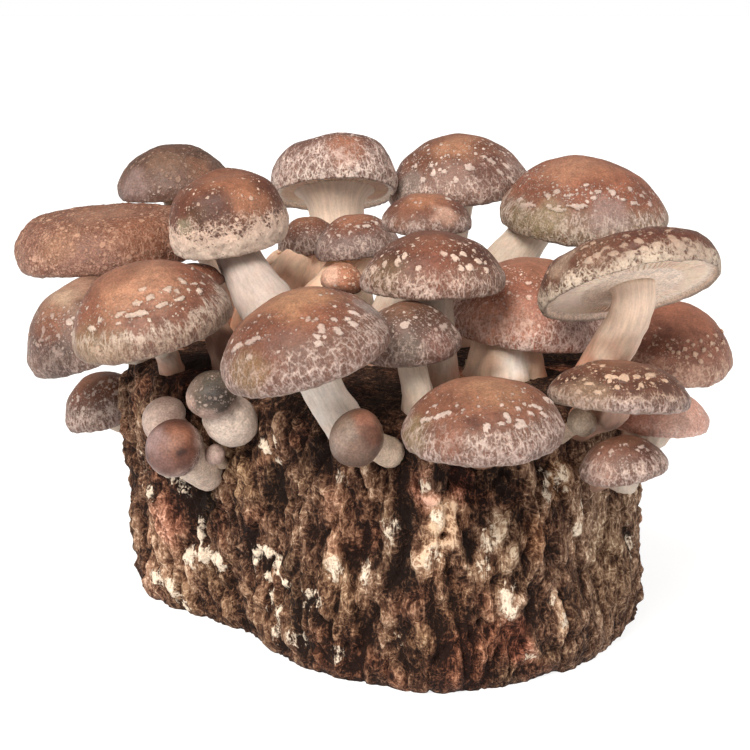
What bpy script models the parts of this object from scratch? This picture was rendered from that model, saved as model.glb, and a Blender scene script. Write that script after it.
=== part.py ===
"""Shiitake log: a short upright log with rough bark, and a flush of shiitake on its top and sides.

Units are metres in Blender, and millimetres in the tables below. +Z is up, -Y faces the viewer,
and the origin is the middle of the log's flat cut base.
"""
import math

import bmesh
import bpy
from mathutils import Matrix, Vector, noise

MM = 0.001
CLEARANCE = 0.3  # gap between pieces that touch

# The log, in millimetres and degrees (0 is +X, 90 is the back)
LOG_RADIUS = 85
LOG_RIM = 83  # height of the top's outer edge
LOG_CROWN = 84.5  # height of the top's middle
LOG_LOBES = (  # direction, depth at the base, depth at the top, width
    (-74, 17.4, 10, 34), (-135, -22.5, -14, 32), (-35, 4.5, 3.5, 25), (95, -3, -3, 40),
    (0, -2, -1.8, 34), (180, 3.2, 1.6, 28), (-161, -3, 0, 14), (-120, 1.6, 0, 12),
    (-96, -1.2, 0, 12),
)
LOG_SIDES = 50
# Relief, as size in millimetres, then how fast it varies around the log and up it
BARK_RIDGES = (4.8, 7.0, 0.012)
BARK_LUMPS = (3.2, 3.6, 0.035)
TOP_LUMPS = (1.5, 0.045)  # the same on the top, in millimetres and per millimetre
LOG_BARK_FROM = 0.9  # share of the radius outside which the relief is bark
LOG_FOOT_RELIEF = 0.35  # share of the relief left where the log meets the ground
LOG_PROFILE = (  # radius, height: the top, the side and the base, each as a share of the whole
    (0.0, 1.0), (0.30, 1.0), (0.58, 1.0), (0.80, 0.995), (0.92, 0.98), (0.975, 0.945), (1.0, 0.88),
    (1.0, 0.78), (1.0, 0.67), (1.0, 0.56), (1.0, 0.45), (1.0, 0.34), (1.0, 0.23), (0.998, 0.13),
    (0.988, 0.055), (0.96, 0.0), (0.0, 0.0),
)

# Stems: parts along each, its handles' length as shares of its own, and its straight last part
STEM_STEPS = 4
STEM_FOOT_HANDLE = 0.36
STEM_CAP_HANDLE = 0.26
STEM_NECK = 2.0
STEM_SPREAD = 1.7  # how fast the foot's extra width fades along the stem
TOP_FROM = 76  # a stem whose foot is above this height rises from the top, and others from the side

# Each cap's edge is a little lobed: lobes around it, size as a share, and its own turn.
CAP_LOBES = ((2, 0.025, 1.0), (3, 0.018, 2.3))
CAP_UNEVEN = (2, 0.05, 1.7)  # the same for the height of its shoulders
CAP_TURN = 1.9  # turn from each mushroom to the next, in radians
LARGE_CAP = 16  # caps with a larger radius have more sides

# Cap outlines: radius, height. Above the gill plane the height is a share of the dome's height,
# below it a share of the cap's radius.
OPEN_CAP = (
    (0.0, 1.0), (0.40, 0.92), (0.70, 0.69), (0.91, 0.34), (1.0, 0.0),
    (0.955, -0.12), (0.87, -0.09), (0.83, 0.0), (0.0, 0.0),
)
FULL_CAP = (
    (0.0, 1.0), (0.50, 0.96), (0.82, 0.78), (0.97, 0.42), (1.0, 0.0),
    (0.955, -0.12), (0.87, -0.09), (0.83, 0.0), (0.0, 0.0),
)
# A cap that has opened flat, with a thin edge.
FLAT_CAP = (
    (0.0, 1.0), (0.50, 0.96), (0.82, 0.78), (0.97, 0.42), (1.0, 0.0),
    (0.975, -0.06), (0.945, -0.045), (0.93, 0.0), (0.0, 0.0),
)
# A button is one piece: a closed cap, and a short stem that is as wide as the last share here.
BUTTON = (
    (0.0, 1.0), (0.42, 0.91), (0.75, 0.64), (0.95, 0.30), (1.0, 0.0),
    (0.88, -0.32), (0.62, -0.46), (0.56, -0.8),
)

# The same, with a stem that swells out below the cap.
SWOLLEN_BUTTON = (
    (0.0, 1.0), (0.42, 0.91), (0.75, 0.64), (0.95, 0.30), (1.0, 0.0), (0.90, -0.34), (0.74, -0.62),
    (0.90, -1.05), (1.0, -1.6), (0.88, -2.15), (0.5, -2.6),
)

SHARP_FROM = 50  # degrees between faces at an edge that stays sharp

BROWN = (0.30, 0.13, 0.08)
PALE_BROWN = (0.40, 0.24, 0.17)
GREY_BROWN = (0.21, 0.14, 0.11)
CREAM = (0.66, 0.52, 0.41)
BARK = (0.10, 0.055, 0.032)

# Each mushroom, in millimetres and degrees.
# foot and cap: where the stem leaves the log, and the middle of the gills, where it meets them.
# meets: how far to the right of that middle it meets them, where it does not stand in the middle.
# lean: how far the cap tips to the right and towards the viewer.
# size: the cap's radius and dome height. stem: its radius at the foot and at the cap.
MUSHROOMS = {
    "far_left": dict(foot=(-56, 22, 82), cap=(-93.6, 24, 113.8), lean=(-4.5, 3), size=(30.2, 14.3),
                     stem=(8, 5.5), colour=BROWN, outline=FULL_CAP),
    "back_far_left": dict(foot=(-45, 46, 82), cap=(-74, 53, 133.2), lean=(-6, 4), size=(20.3, 14.4),
                          stem=(8, 5), colour=GREY_BROWN),
    "peeking_left": dict(foot=(-46.5, -31.5, 82), cap=(-59.4, -17, 108), lean=(-10, 0), size=(8.8, 7),
                         stem=(6, 3.6), colour=BROWN),
    "upper_left": dict(foot=(-26, -32, 82), cap=(-49, -8, 123), lean=(-8, 10), size=(18.5, 20),
                       stem=(13.5, 6.6), colour=BROWN, outline=FULL_CAP),
    "front_far_left": dict(foot=(-66, -24, 79), cap=(-69, -58, 102), lean=(-14, 8), size=(24.5, 19),
                           stem=(3.8, 3.2), colour=BROWN),
    "low_left": dict(foot=(-70, 0, 78), cap=(-95, -5, 87.8), lean=(-21, 8), size=(22.6, 20.2),
                     stem=(6, 4.5), colour=GREY_BROWN),
    "bottom_left": dict(foot=(-74, 26, 50), cap=(-96, 30, 56), lean=(-16, 8), size=(14.6, 14),
                        stem=(5.5, 4), colour=BROWN),
    "front_left": dict(foot=(-6, -83, 71), cap=(-21, -100, 101.5), lean=(-17, 8), size=(24, 17),
                       stem=(6.6, 5.8), colour=BROWN),
    "front_right": dict(foot=(30, -89, 72), cap=(28, -114, 82.5), lean=(-4, 5), size=(22.3, 14.2),
                        stem=(4.6, 4.6), colour=BROWN),
    "back_left": dict(foot=(-12, 54, 82), cap=(-16.5, 58, 130.6), lean=(-2, -21), size=(22.9, 18.3),
                      stem=(10, 9), colour=PALE_BROWN, outline=FLAT_CAP),
    "back_middle": dict(foot=(18, 60, 82), cap=(28.4, 70, 130), lean=(-8, 2), size=(25.4, 20),
                        stem=(8, 5), colour=BROWN),
    "back_right": dict(foot=(24, 12, 82), cap=(70, 33, 125), lean=(4, 11), size=(28.2, 19.3),
                       stem=(12, 7), meets=-16, colour=BROWN),
    "middle_top": dict(foot=(-1, -22, 82), cap=(14, -28, 129.5), lean=(0, 4), size=(14.2, 8.8),
                       stem=(8.5, 4.6), colour=BROWN),
    "middle": dict(foot=(16, -60, 82), cap=(15.6, -62, 116.2), lean=(0, 0), size=(21.4, 14.3),
                   stem=(7, 5.5), colour=BROWN),
    "small_left": dict(foot=(-37, 17, 82), cap=(-25, 36, 114), lean=(-10, 6), size=(11, 10),
                       stem=(12.5, 6.1), meets=-3, colour=GREY_BROWN),
    "middle_left": dict(foot=(-24, 0, 82), cap=(-8, 10, 116), lean=(-6, 0), size=(14, 11.5),
                        stem=(7.8, 5.0), colour=BROWN),
    "middle_right": dict(foot=(38, -42, 81), cap=(46, -35, 98.6), lean=(4, 4), size=(24.9, 20.2),
                         stem=(12.5, 6.8), meets=-8, colour=BROWN),
    "under_middle": dict(foot=(11, -84, 79), cap=(8, -81, 100), lean=(-4, 8), size=(14.6, 12.5),
                         stem=(4.6, 4.2), colour=GREY_BROWN),
    "upper_right": dict(foot=(61, -60, 78), cap=(72, -79, 116.8), lean=(-11, -26), size=(25.6, 12.8),
                        stem=(7, 6), colour=BROWN, outline=FLAT_CAP),
    "far_right": dict(foot=(70, -24, 77), cap=(92, -30, 88.8), lean=(8, 18), size=(19, 15),
                      stem=(6, 4.6), colour=BROWN),
    "low_right": dict(foot=(60.5, -69.5, 75), cap=(67.2, -96, 88.5), lean=(3, -4), size=(19.3, 9.8),
                      stem=(4, 3.6), colour=BROWN),
    "under_right": dict(foot=(75, -52, 66), cap=(82, -75, 76.5), lean=(1, 0), size=(14.6, 9),
                        stem=(5, 4), colour=PALE_BROWN),
    "bottom_right": dict(foot=(65, -66, 58), cap=(68.9, -96, 67.4), lean=(-9, 2), size=(12.1, 9.2),
                         stem=(4, 3.8), colour=GREY_BROWN),
}

# The buttons: where the widest part of the cap is, how it tips, its radius and dome height, and
# how far its stem reaches back.
BUTTONS = {
    "grey": dict(cap=(-50, -69, 83), lean=(-22, 34), size=(7.9, 6.5), stem=30, colour=GREY_BROWN,
                 outline=SWOLLEN_BUTTON),
    "brown": dict(cap=(-62.4, -63, 65.2), lean=(-22, 50), size=(9, 7), stem=24, colour=BROWN),
    "pale": dict(cap=(-67, -46, 70), lean=(-40, 25), size=(7.6, 7), stem=22, colour=CREAM),
    "pin": dict(cap=(-50.5, -58, 62), lean=(-14, 50), size=(3.2, 3), stem=8, colour=CREAM),
    "foot": dict(cap=(-6.6, -109, 79.2), lean=(-25, 55), size=(8.0, 6.8), stem=24, colour=PALE_BROWN),
    "knob": dict(cap=(57.5, -87.5, 79), lean=(24, 50), size=(4.3, 4), stem=15, colour=GREY_BROWN),
    "low": dict(cap=(-12.6, -9.2, 108), lean=(10, 4), size=(7, 6), stem=26, colour=BROWN),
    "hidden": dict(cap=(19, -88.5, 85.2), lean=(4, 10), size=(4, 3.4), stem=10, colour=BROWN),
}


def clear_scene():
    for old in list(bpy.data.objects):
        bpy.data.objects.remove(old)


def collection(name):
    made = bpy.data.collections.new(name)
    bpy.context.scene.collection.children.link(made)
    return made


def material(name, colour, roughness):
    made = bpy.data.materials.get(name) or bpy.data.materials.new(name)
    made.use_nodes = True
    shader = made.node_tree.nodes["Principled BSDF"]
    shader.inputs["Base Color"].default_value = (*colour, 1.0)
    shader.inputs["Roughness"].default_value = roughness
    shader.inputs["Metallic"].default_value = 0.0
    return made


def turned_mesh(name, outline, sides):
    """A closed mesh turned about Z from an outline of (radius, height) in metres."""
    mesh = bpy.data.meshes.new(name)
    form = bmesh.new()
    points = [form.verts.new((radius, 0.0, height)) for radius, height in outline]
    edges = [form.edges.new(pair) for pair in zip(points, points[1:])]
    bmesh.ops.spin(form, geom=points + edges, axis=(0, 0, 1), cent=(0, 0, 0),
                   angle=math.tau, steps=sides, use_merge=True)
    bmesh.ops.remove_doubles(form, verts=form.verts, dist=0.01 * MM)
    bmesh.ops.recalc_face_normals(form, faces=form.faces)
    form.to_mesh(mesh)
    form.free()
    return mesh


def turn_between(degrees, centre):
    """The signed angle from centre to degrees, from -180 to 180."""
    return (degrees - centre + 180) % 360 - 180


def log_reach(degrees, height):
    """The log's radius in a direction, in millimetres: a round log with broad lobes and flats."""
    lobes = sum((low + (high - low) * height) * math.exp(-(turn_between(degrees, centre) / width) ** 2)
                for centre, low, high, width in LOG_LOBES)
    return LOG_RADIUS + lobes


def bark_relief(degrees, height):
    """How far the bark stands out, in millimetres: upright ridges and broad lumps."""
    turn = math.radians(degrees)
    relief = 0.0
    for start, (size, around, up) in ((0, BARK_RIDGES), (5, BARK_LUMPS)):
        spot = Vector((math.cos(turn), math.sin(turn), 0)) * around + Vector((start, 0, height * up))
        relief += size * noise.noise(spot)
    return relief


def log_point(x, y, z):
    """Where a point of the plain turned log goes, in millimetres."""
    degrees = math.degrees(math.atan2(y, x))
    share = math.hypot(x, y) / LOG_RADIUS
    height = z / LOG_RIM
    wider = log_reach(degrees, height) / LOG_RADIUS
    x, y = x * wider, y * wider
    if share > LOG_BARK_FROM:
        stands = 1 + bark_relief(degrees, z) * min(1.0, LOG_FOOT_RELIEF + 4 * height) / LOG_RADIUS
        return Vector((x * stands, y * stands, z))
    if z > 0:
        size, often = TOP_LUMPS
        z += (LOG_CROWN - LOG_RIM) * (1 - share ** 2)
        z += size * noise.noise(Vector((x, y, 0)) * often)
    return Vector((x, y, z))


def make_log(name, extra=0.0):
    """The log, or a copy grown by extra millimetres to cut the stems' feet with."""
    outline = [(share * LOG_RADIUS * MM, height * LOG_RIM * MM) for share, height in LOG_PROFILE]
    mesh = turned_mesh(name, outline, LOG_SIDES)
    for vertex in mesh.vertices:
        vertex.co = log_point(*(vertex.co / MM)) * MM
    if extra:
        grown = [vertex.co + vertex.normal * extra * MM for vertex in mesh.vertices]
        for vertex, spot in zip(mesh.vertices, grown):
            vertex.co = spot
    return bpy.data.objects.new(name, mesh)


def cap_mesh(name, size, outline, sides, phase):
    """A cap turned about Z with its gill plane at zero, and a slightly lobed edge."""
    radius, dome = size
    points = [(share * radius * MM, height * (dome if height > 0 else radius) * MM)
              for share, height in outline]
    mesh = turned_mesh(name, points, sides)
    lobes, uneven, turned = CAP_UNEVEN
    for vertex in mesh.vertices:
        turn = math.atan2(vertex.co.y, vertex.co.x)
        share = math.hypot(*vertex.co.xy) / (radius * MM)
        wider = 1 + sum(part * math.sin(count * turn + own * phase) for count, part, own in CAP_LOBES)
        vertex.co.xy = (vertex.co.x * wider, vertex.co.y * wider)
        if vertex.co.z > 0:
            vertex.co.z *= 1 + uneven * math.sin(lobes * turn + turned * phase) * share
    return mesh


def cap_axis(lean):
    right, front = (math.sin(math.radians(angle)) for angle in lean)
    return Vector((right, -front, math.sqrt(1 - right ** 2 - front ** 2)))


def facing(axis):
    return axis.to_track_quat("Z", "Y").to_matrix().to_4x4()


def place(mesh, name, plan, into):
    made = bpy.data.objects.new(name, mesh)
    made.matrix_world = Matrix.Translation(Vector(plan["cap"]) * MM) @ facing(cap_axis(plan["lean"]))
    mesh.materials.append(material(name, plan["colour"], 0.6))
    into.objects.link(made)
    return made


def cut_by(obj, cutter):
    cut = obj.modifiers.new("sits on the bark", "BOOLEAN")
    cut.operation = "DIFFERENCE"
    cut.object = cutter


def make_cap(name, plan, index, into):
    sides = 16 if plan["size"][0] > LARGE_CAP else 12
    outline = plan.get("outline", OPEN_CAP)
    return place(cap_mesh(name, plan["size"], outline, sides, index * CAP_TURN), name, plan, into)


def make_button(name, plan, index, cutter, into):
    outline = plan.get("outline", BUTTON)
    wide, reach = outline[-1][0], -plan["stem"] / plan["size"][0]
    outline = (*outline, (wide, reach), (0.0, reach))
    button = place(cap_mesh(name, plan["size"], outline, 10, index * CAP_TURN), name, plan, into)
    cut_by(button, cutter)
    return button


def stem_line(plan):
    """Points along the stem, out of the bark and round to meet the cap square on, with radii."""
    foot, top = Vector(plan["foot"]), Vector(plan["cap"])
    axis = cap_axis(plan["lean"])
    across = Vector((0, 1, 0)).cross(axis).normalized()
    top += across * plan.get("meets", 0) - axis * CLEARANCE
    outward = Vector((foot.x, foot.y, 0)).normalized()
    up = Vector((0, 0, 1))
    root = (outward * 0.3 + up if foot.z > TOP_FROM else outward + up * 0.3).normalized()
    length = (top - foot).length
    handles = (foot, foot + root * length * STEM_FOOT_HANDLE, top - axis * length * STEM_CAP_HANDLE, top)
    thick, thin = plan["stem"]
    line = []
    for step in range(STEM_STEPS + 1):
        t = step / STEM_STEPS
        weights = ((1 - t) ** 3, 3 * t * (1 - t) ** 2, 3 * t * t * (1 - t), t ** 3)
        point = sum((handle * weight for handle, weight in zip(handles, weights)), Vector())
        line.append((point, thin + (thick - thin) * (1 - t) ** STEM_SPREAD))
    line.insert(-1, (top - axis * STEM_NECK, thin))
    return line


def stem_curve(name, plan):
    line = stem_line(plan)
    curve = bpy.data.curves.new(name, "CURVE")
    curve.dimensions = "3D"
    curve.bevel_depth = MM
    curve.bevel_resolution = 1
    curve.use_fill_caps = True
    spline = curve.splines.new("POLY")
    spline.points.add(len(line) - 1)
    for point, (spot, radius) in zip(spline.points, line):
        point.co = (*(spot * MM), 1)
        point.radius = radius
    return bpy.data.objects.new(name, curve)


def make_stem(name, plan, cutter, into):
    """The stem as a closed mesh, cut to sit on the bark."""
    curve = stem_curve(name + " line", plan)
    into.objects.link(curve)
    bpy.context.view_layer.update()
    graph = bpy.context.evaluated_depsgraph_get()
    mesh = bpy.data.meshes.new_from_object(curve.evaluated_get(graph))
    bpy.data.objects.remove(curve)
    form = bmesh.new()
    form.from_mesh(mesh)
    bmesh.ops.remove_doubles(form, verts=form.verts, dist=0.01 * MM)
    bmesh.ops.recalc_face_normals(form, faces=form.faces)
    form.to_mesh(mesh)
    form.free()
    mesh.materials.clear()
    mesh.materials.append(material("stem", CREAM, 0.7))
    stem = bpy.data.objects.new(name, mesh)
    into.objects.link(stem)
    cut_by(stem, cutter)
    return stem


def main():
    clear_scene()
    parts = collection("Shiitake log")
    cutters = collection("Cutters")
    log = make_log("log")
    log.data.materials.append(material("bark", BARK, 0.9))
    parts.objects.link(log)
    cutter = make_log("log clearance", CLEARANCE)
    cutter.hide_render = True
    cutter.display_type = "WIRE"
    cutters.objects.link(cutter)
    for index, (name, plan) in enumerate(MUSHROOMS.items()):
        make_cap("cap_" + name, plan, index, parts)
        make_stem("stem_" + name, plan, cutter, parts)
    for index, (name, plan) in enumerate(BUTTONS.items()):
        make_button("button_" + name, plan, index, cutter, parts)
    for part in parts.objects:
        part.data.shade_smooth()
        part.data.set_sharp_from_angle(angle=math.radians(SHARP_FROM))


main()
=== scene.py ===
# A shiitake log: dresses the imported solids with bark, caps, gills, stems and buttons.
# Lengths are metres in the scene, and millimetres in the tables and in all patterns.
import math

import bpy
import numpy as np
from mathutils import Matrix, Vector


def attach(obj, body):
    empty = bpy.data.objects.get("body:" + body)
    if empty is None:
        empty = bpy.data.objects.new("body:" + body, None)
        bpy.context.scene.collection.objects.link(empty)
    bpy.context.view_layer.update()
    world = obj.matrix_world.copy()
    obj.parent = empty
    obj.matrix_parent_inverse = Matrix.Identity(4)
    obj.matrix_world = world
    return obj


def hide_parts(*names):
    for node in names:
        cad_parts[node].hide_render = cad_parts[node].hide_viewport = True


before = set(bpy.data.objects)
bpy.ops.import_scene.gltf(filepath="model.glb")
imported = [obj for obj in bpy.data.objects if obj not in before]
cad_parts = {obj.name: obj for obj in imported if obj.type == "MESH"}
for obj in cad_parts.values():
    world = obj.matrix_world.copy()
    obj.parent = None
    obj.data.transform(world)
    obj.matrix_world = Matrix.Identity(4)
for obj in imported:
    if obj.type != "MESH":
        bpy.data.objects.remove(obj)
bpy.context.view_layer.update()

mm = 0.001
full = 2 * math.pi
up = np.array((0.0, 0.0, 1.0))
forward = np.array((0.0, -1.0, 0.0))  # towards the viewer

# The photograph's camera: where it stands, where it looks, and its lens in millimetres
shot = dict(stand=(0.0, -0.600, 0.196), aim=(-0.002, 0.0, 0.075), lens=88.0, sensor=36.0, size=750)


def makeCamera():
    stand = Vector(shot["stand"])
    ahead = (Vector(shot["aim"]) - stand).normalized()
    right = ahead.cross(Vector(up)).normalized()
    above = right.cross(ahead)
    data = bpy.data.cameras.new("camera")
    data.lens = shot["lens"]
    data.sensor_width = shot["sensor"]
    data.clip_start = 0.01
    data.clip_end = 50
    camera = bpy.data.objects.new("camera", data)
    turned = Matrix((right, above, -ahead)).transposed().to_4x4()
    turned.translation = stand
    camera.matrix_world = turned
    bpy.context.scene.collection.objects.link(camera)
    bpy.context.scene.camera = camera
    return tuple(np.array(part) for part in (stand, ahead, right, above))


stand, ahead, right, above = makeCamera()


def onPicture(points):  # where points in millimetres come in the photograph, in pixels
    away = points * mm - stand
    zoom = shot["lens"] / shot["sensor"] * shot["size"] / (away @ ahead)
    return shot["size"] / 2 + zoom * (away @ right), shot["size"] / 2 - zoom * (away @ above)


# Patterns on arrays of points, in millimetres
chance = np.random.default_rng(11)
shuffled = chance.permutation(256)
slopes = chance.normal(size=(256, 3))
slopes /= np.linalg.norm(slopes, axis=1, keepdims=True)
scatter = chance.random((256, 3))


def pick(cell, seed):  # a number from 0 to 255 for each whole-number cell
    found = shuffled[(cell[:, 0] + seed * 37) & 255]
    found = shuffled[(found + cell[:, 1]) & 255]
    return shuffled[(found + cell[:, 2]) & 255]


def noise(points, seed=0):  # smooth, from about -1 to 1
    cell = np.floor(points).astype(int)
    part = points - cell
    ease = part ** 3 * (part * (part * 6 - 15) + 10)
    total = np.zeros(len(points))
    for corner in np.ndindex(2, 2, 2):
        weight = np.where(corner, ease, 1 - ease).prod(axis=1)
        total += weight * (slopes[pick(cell + corner, seed)] * (part - corner)).sum(axis=1)
    return total * 1.6


def layers(points, count, seed=0, rough=0.5):
    return sum(rough ** level * noise(points * 2.03 ** level, seed + level) for level in range(count))


def wave(points, length, strength, seed):
    return strength * noise(points / length, seed)


def warped(points, amount, often, seed=0):
    return points + amount * np.stack([noise(points * often, seed + k) for k in range(3)], axis=1)


def cells(points, seed=0):  # distance to the nearest seed, gap to the next cell, own number
    home = np.floor(points).astype(int)
    first = np.full(len(points), 9.0)
    second = first.copy()
    own = np.zeros(len(points))
    for step in np.ndindex(3, 3, 3):
        cell = home + step - 1
        index = pick(cell, seed)
        away = np.linalg.norm(cell + scatter[index] - points, axis=1)
        nearer = away < first
        second = np.where(nearer, first, np.minimum(second, away))
        own = np.where(nearer, index / 255, own)
        first = np.minimum(first, away)
    return first, second - first, own


def ramp(low, high, value):  # a soft step from 0 at low to 1 at high
    share = np.clip((value - low) / (high - low), 0, 1)
    return share * share * (3 - 2 * share)


def band(share, low, high, soft=0.09):  # 1 between low and high
    return ramp(low - soft, low + soft, share) * ramp(high + soft, high - soft, share)


def mixed(first, second, share):
    return first + (np.asarray(second) - first) * np.asarray(share)[:, None]


def tint(red, green, blue):  # a screen colour as the renderer's own numbers
    colour = np.array((red, green, blue)) / 255
    return np.where(colour <= 0.04045, colour / 12.92, ((colour + 0.055) / 1.055) ** 2.4)


lightGain = 0.62  # so that a colour given for a skin is the one it has where it is well lit


def lit(red, green, blue):
    return lightGain * tint(red, green, blue)


def unit(rows):
    return rows / np.linalg.norm(rows, axis=-1, keepdims=True)


def threaded(knots, values, spots):  # a smooth curve through values at their knots
    slope = np.gradient(values, knots, axis=0)
    k = np.clip(np.searchsorted(knots, spots, side="right") - 1, 0, len(knots) - 2)
    width = knots[k + 1] - knots[k]
    part = (spots - knots[k]) / width
    shape = (-1,) + (1,) * (values.ndim - 1)
    part, width = part.reshape(shape), width.reshape(shape)
    low, high = values[k], values[k + 1]
    bend = low * (1 + 2 * part) * (1 - part) ** 2 + high * part ** 2 * (3 - 2 * part)
    return bend + width * part * (1 - part) * (slope[k] * (1 - part) - slope[k + 1] * part)


def aroundRing(values, start, turns):  # values at even turns from start, read at other turns
    count = values.shape[1]
    waves = np.fft.rfft(values, axis=1) / count
    order = np.arange(waves.shape[1])
    weight = np.where((order == 0) | (order * 2 == count), 1, 2)
    return ((waves * weight) @ np.exp(1j * order[:, None] * (turns - start))).real


# Meshes as grids: rows run down from the top, columns run round anticlockwise from above
def gridFaces(rows, columns, top, foot):
    grid = np.arange(rows * columns).reshape(rows, columns)
    beside = np.roll(grid, -1, axis=1)
    quads = np.stack([grid[:-1], grid[1:], beside[1:], beside[:-1]], axis=-1).reshape(-1, 4)
    topFan = np.stack([np.full(columns, top), grid[0], beside[0]], axis=1)
    footFan = np.stack([np.full(columns, foot), beside[-1], grid[-1]], axis=1)
    return quads.tolist() + topFan.tolist() + footFan.tolist()


def gridNormals(grid):
    down = np.gradient(grid, axis=0)
    across = np.roll(grid, -1, axis=1) - np.roll(grid, 1, axis=1)
    return unit(np.cross(down, across) + 1e-12)


def gridMesh(name, grid, paints, materials, extra=None):  # extra: points and faces of the second material
    rows, columns = grid.shape[:2]
    count = rows * columns
    points = np.concatenate([grid.reshape(-1, 3), grid[:1].mean(axis=1), grid[-1:].mean(axis=1)])
    faces = gridFaces(rows, columns, count, count + 1)
    plain = len(faces)
    if extra is not None:
        faces += (extra[1] + len(points)).tolist()
        points = np.concatenate([points, extra[0]])
    mesh = bpy.data.meshes.new(name)
    mesh.from_pydata((points * mm).tolist(), [], faces)
    for title, values in paints.items():
        values = values.reshape(count, -1)
        wide = values.shape[1]
        filled = np.zeros((len(points), wide))
        filled[:count] = values
        filled[count] = values[:columns].mean(axis=0)
        filled[count + 1] = values[-columns:].mean(axis=0)
        kind = "FLOAT" if wide == 1 else "FLOAT_VECTOR" if title == "weave" else "FLOAT_COLOR"
        if kind == "FLOAT_COLOR":
            filled = np.concatenate([np.clip(filled, 0, 1), np.ones((len(points), 1))], axis=1)
        layer = mesh.attributes.new(title, kind, "POINT")
        entry = {"FLOAT": "value", "FLOAT_VECTOR": "vector", "FLOAT_COLOR": "color"}[kind]
        layer.data.foreach_set(entry, filled.astype(np.float32).ravel())
    for material in materials:
        mesh.materials.append(material)
    finish = np.zeros(len(mesh.polygons), np.int32)
    finish[plain:] = 1
    mesh.polygons.foreach_set("material_index", finish)
    mesh.polygons.foreach_set("use_smooth", np.ones(len(mesh.polygons), bool))
    mesh.update()
    piece = bpy.data.objects.new(name, mesh)
    bpy.context.scene.collection.objects.link(piece)
    return piece


def paintUnder(paints, rows, columns, count):  # the rows of a flat underside look as the last row does
    for title in paints:
        values = paints[title].reshape(rows, columns, -1)
        paints[title] = np.concatenate([values, np.repeat(values[-1:], count, axis=0)])


def standFor(piece, node):
    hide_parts(node)
    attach(piece, "root")


# Materials. A grain is given as its scale, detail, roughness and distortion.
def newMaterial(name):
    material = bpy.data.materials.new(name)
    material.use_nodes = True
    return material, material.node_tree, material.node_tree.nodes["Principled BSDF"]


def add(tree, kind, inputs=None, **settings):
    made = tree.nodes.new(kind)
    for key, value in settings.items():
        setattr(made, key, value)
    for key, value in (inputs or {}).items():
        if isinstance(value, bpy.types.NodeSocket):
            tree.links.new(value, made.inputs[key])
        else:
            made.inputs[key].default_value = value
    return made


def placeOf(tree):
    return add(tree, "ShaderNodeTexCoord").outputs["Object"]


def attribute(tree, name, kind="Fac"):
    return add(tree, "ShaderNodeAttribute", attribute_name=name).outputs[kind]


def calc(tree, operation, *values, clamp=False):
    made = add(tree, "ShaderNodeMath", dict(enumerate(values)), operation=operation, use_clamp=clamp)
    return made.outputs[0]


def carried(tree, operation, *parts):  # one operation from each part to the next
    found = parts[0]
    for part in parts[1:]:
        found = calc(tree, operation, found, part)
    return found


def plus(tree, *parts):
    return carried(tree, "ADD", *parts)


def minus(tree, first, second):
    return calc(tree, "SUBTRACT", first, second)


def times(tree, *parts):
    return carried(tree, "MULTIPLY", *parts)


def swing(tree, grain, gain, middle=0.5):  # a grain as a number to either side of nought
    return times(tree, minus(tree, grain, middle), gain)


def weighed(tree, *pairs):  # values, each with its weight, added up
    return plus(tree, *(times(tree, value, weight) for value, weight in pairs))


def between(tree, value, low, high, toLow=0.0, toHigh=1.0):
    inputs = {"Value": value, "From Min": low, "From Max": high, "To Min": toLow, "To Max": toHigh}
    return add(tree, "ShaderNodeMapRange", inputs, interpolation_type="SMOOTHSTEP").outputs["Result"]


def mixTint(tree, share, first, second, how="MIX"):
    inputs = {0: share, 6: first, 7: second}
    return add(tree, "ShaderNodeMix", inputs, data_type="RGBA", blend_type=how).outputs[2]


def scaled(tree, vector, size):
    return add(tree, "ShaderNodeVectorMath", {0: vector, "Scale": size}, operation="SCALE").outputs[0]


def grainOf(tree, where, scale, detail, rough, distortion=0.0):
    inputs = {"Vector": where, "Scale": scale, "Detail": detail, "Roughness": rough, "Distortion": distortion}
    return add(tree, "ShaderNodeTexNoise", inputs).outputs["Fac"]


def crestOf(tree, grain, sharp):  # bright thin lines where a grain crosses its middle
    off = calc(tree, "ABSOLUTE", minus(tree, grain, 0.5))
    return calc(tree, "SUBTRACT", 1.0, times(tree, off, sharp), clamp=True)


def shaded(tree, colour, *grains):  # a colour made lighter and darker by grains: grain, low, high
    for grain, low, high in grains:
        colour = scaled(tree, colour, between(tree, grain, 0.25, 0.75, low, high))
    return colour


def bumped(tree, shader, height, strength, deep):
    inputs = {"Height": height, "Strength": strength, "Distance": deep * mm}
    tree.links.new(add(tree, "ShaderNodeBump", inputs).outputs["Normal"], shader.inputs["Normal"])


def setShader(shader, **values):
    for key, value in values.items():
        shader.inputs[key.replace("_", " ")].default_value = value


def cellsOf(tree, where, scale, feature="F1"):
    inputs = {"Vector": where, "Scale": scale, "Randomness": 1.0}
    return add(tree, "ShaderNodeTexVoronoi", inputs, feature=feature).outputs


def bentBy(tree, where, scale, amount):  # the same place moved about a little
    shift = add(tree, "ShaderNodeTexNoise", {"Vector": where, "Scale": scale, "Detail": 2.0}).outputs["Color"]
    shift = add(tree, "ShaderNodeVectorMath", {0: shift, 1: (0.5, 0.5, 0.5)}, operation="SUBTRACT").outputs[0]
    shift = scaled(tree, shift, amount)
    return add(tree, "ShaderNodeVectorMath", {0: where, 1: shift}, operation="ADD").outputs[0]


def fleckOf(tree, where, scale, ragged, share, size):  # loose scales in a share of the cells
    found = cellsOf(tree, where, scale)
    own = add(tree, "ShaderNodeSeparateColor", {0: found["Color"]}).outputs
    far = plus(tree, found["Distance"], ragged)
    reach = times(tree, plus(tree, 0.45, own[1]), size)
    shape = between(tree, calc(tree, "DIVIDE", far, reach), 1.15, 0.8)
    return times(tree, shape, calc(tree, "LESS_THAN", own[0], share))


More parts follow.
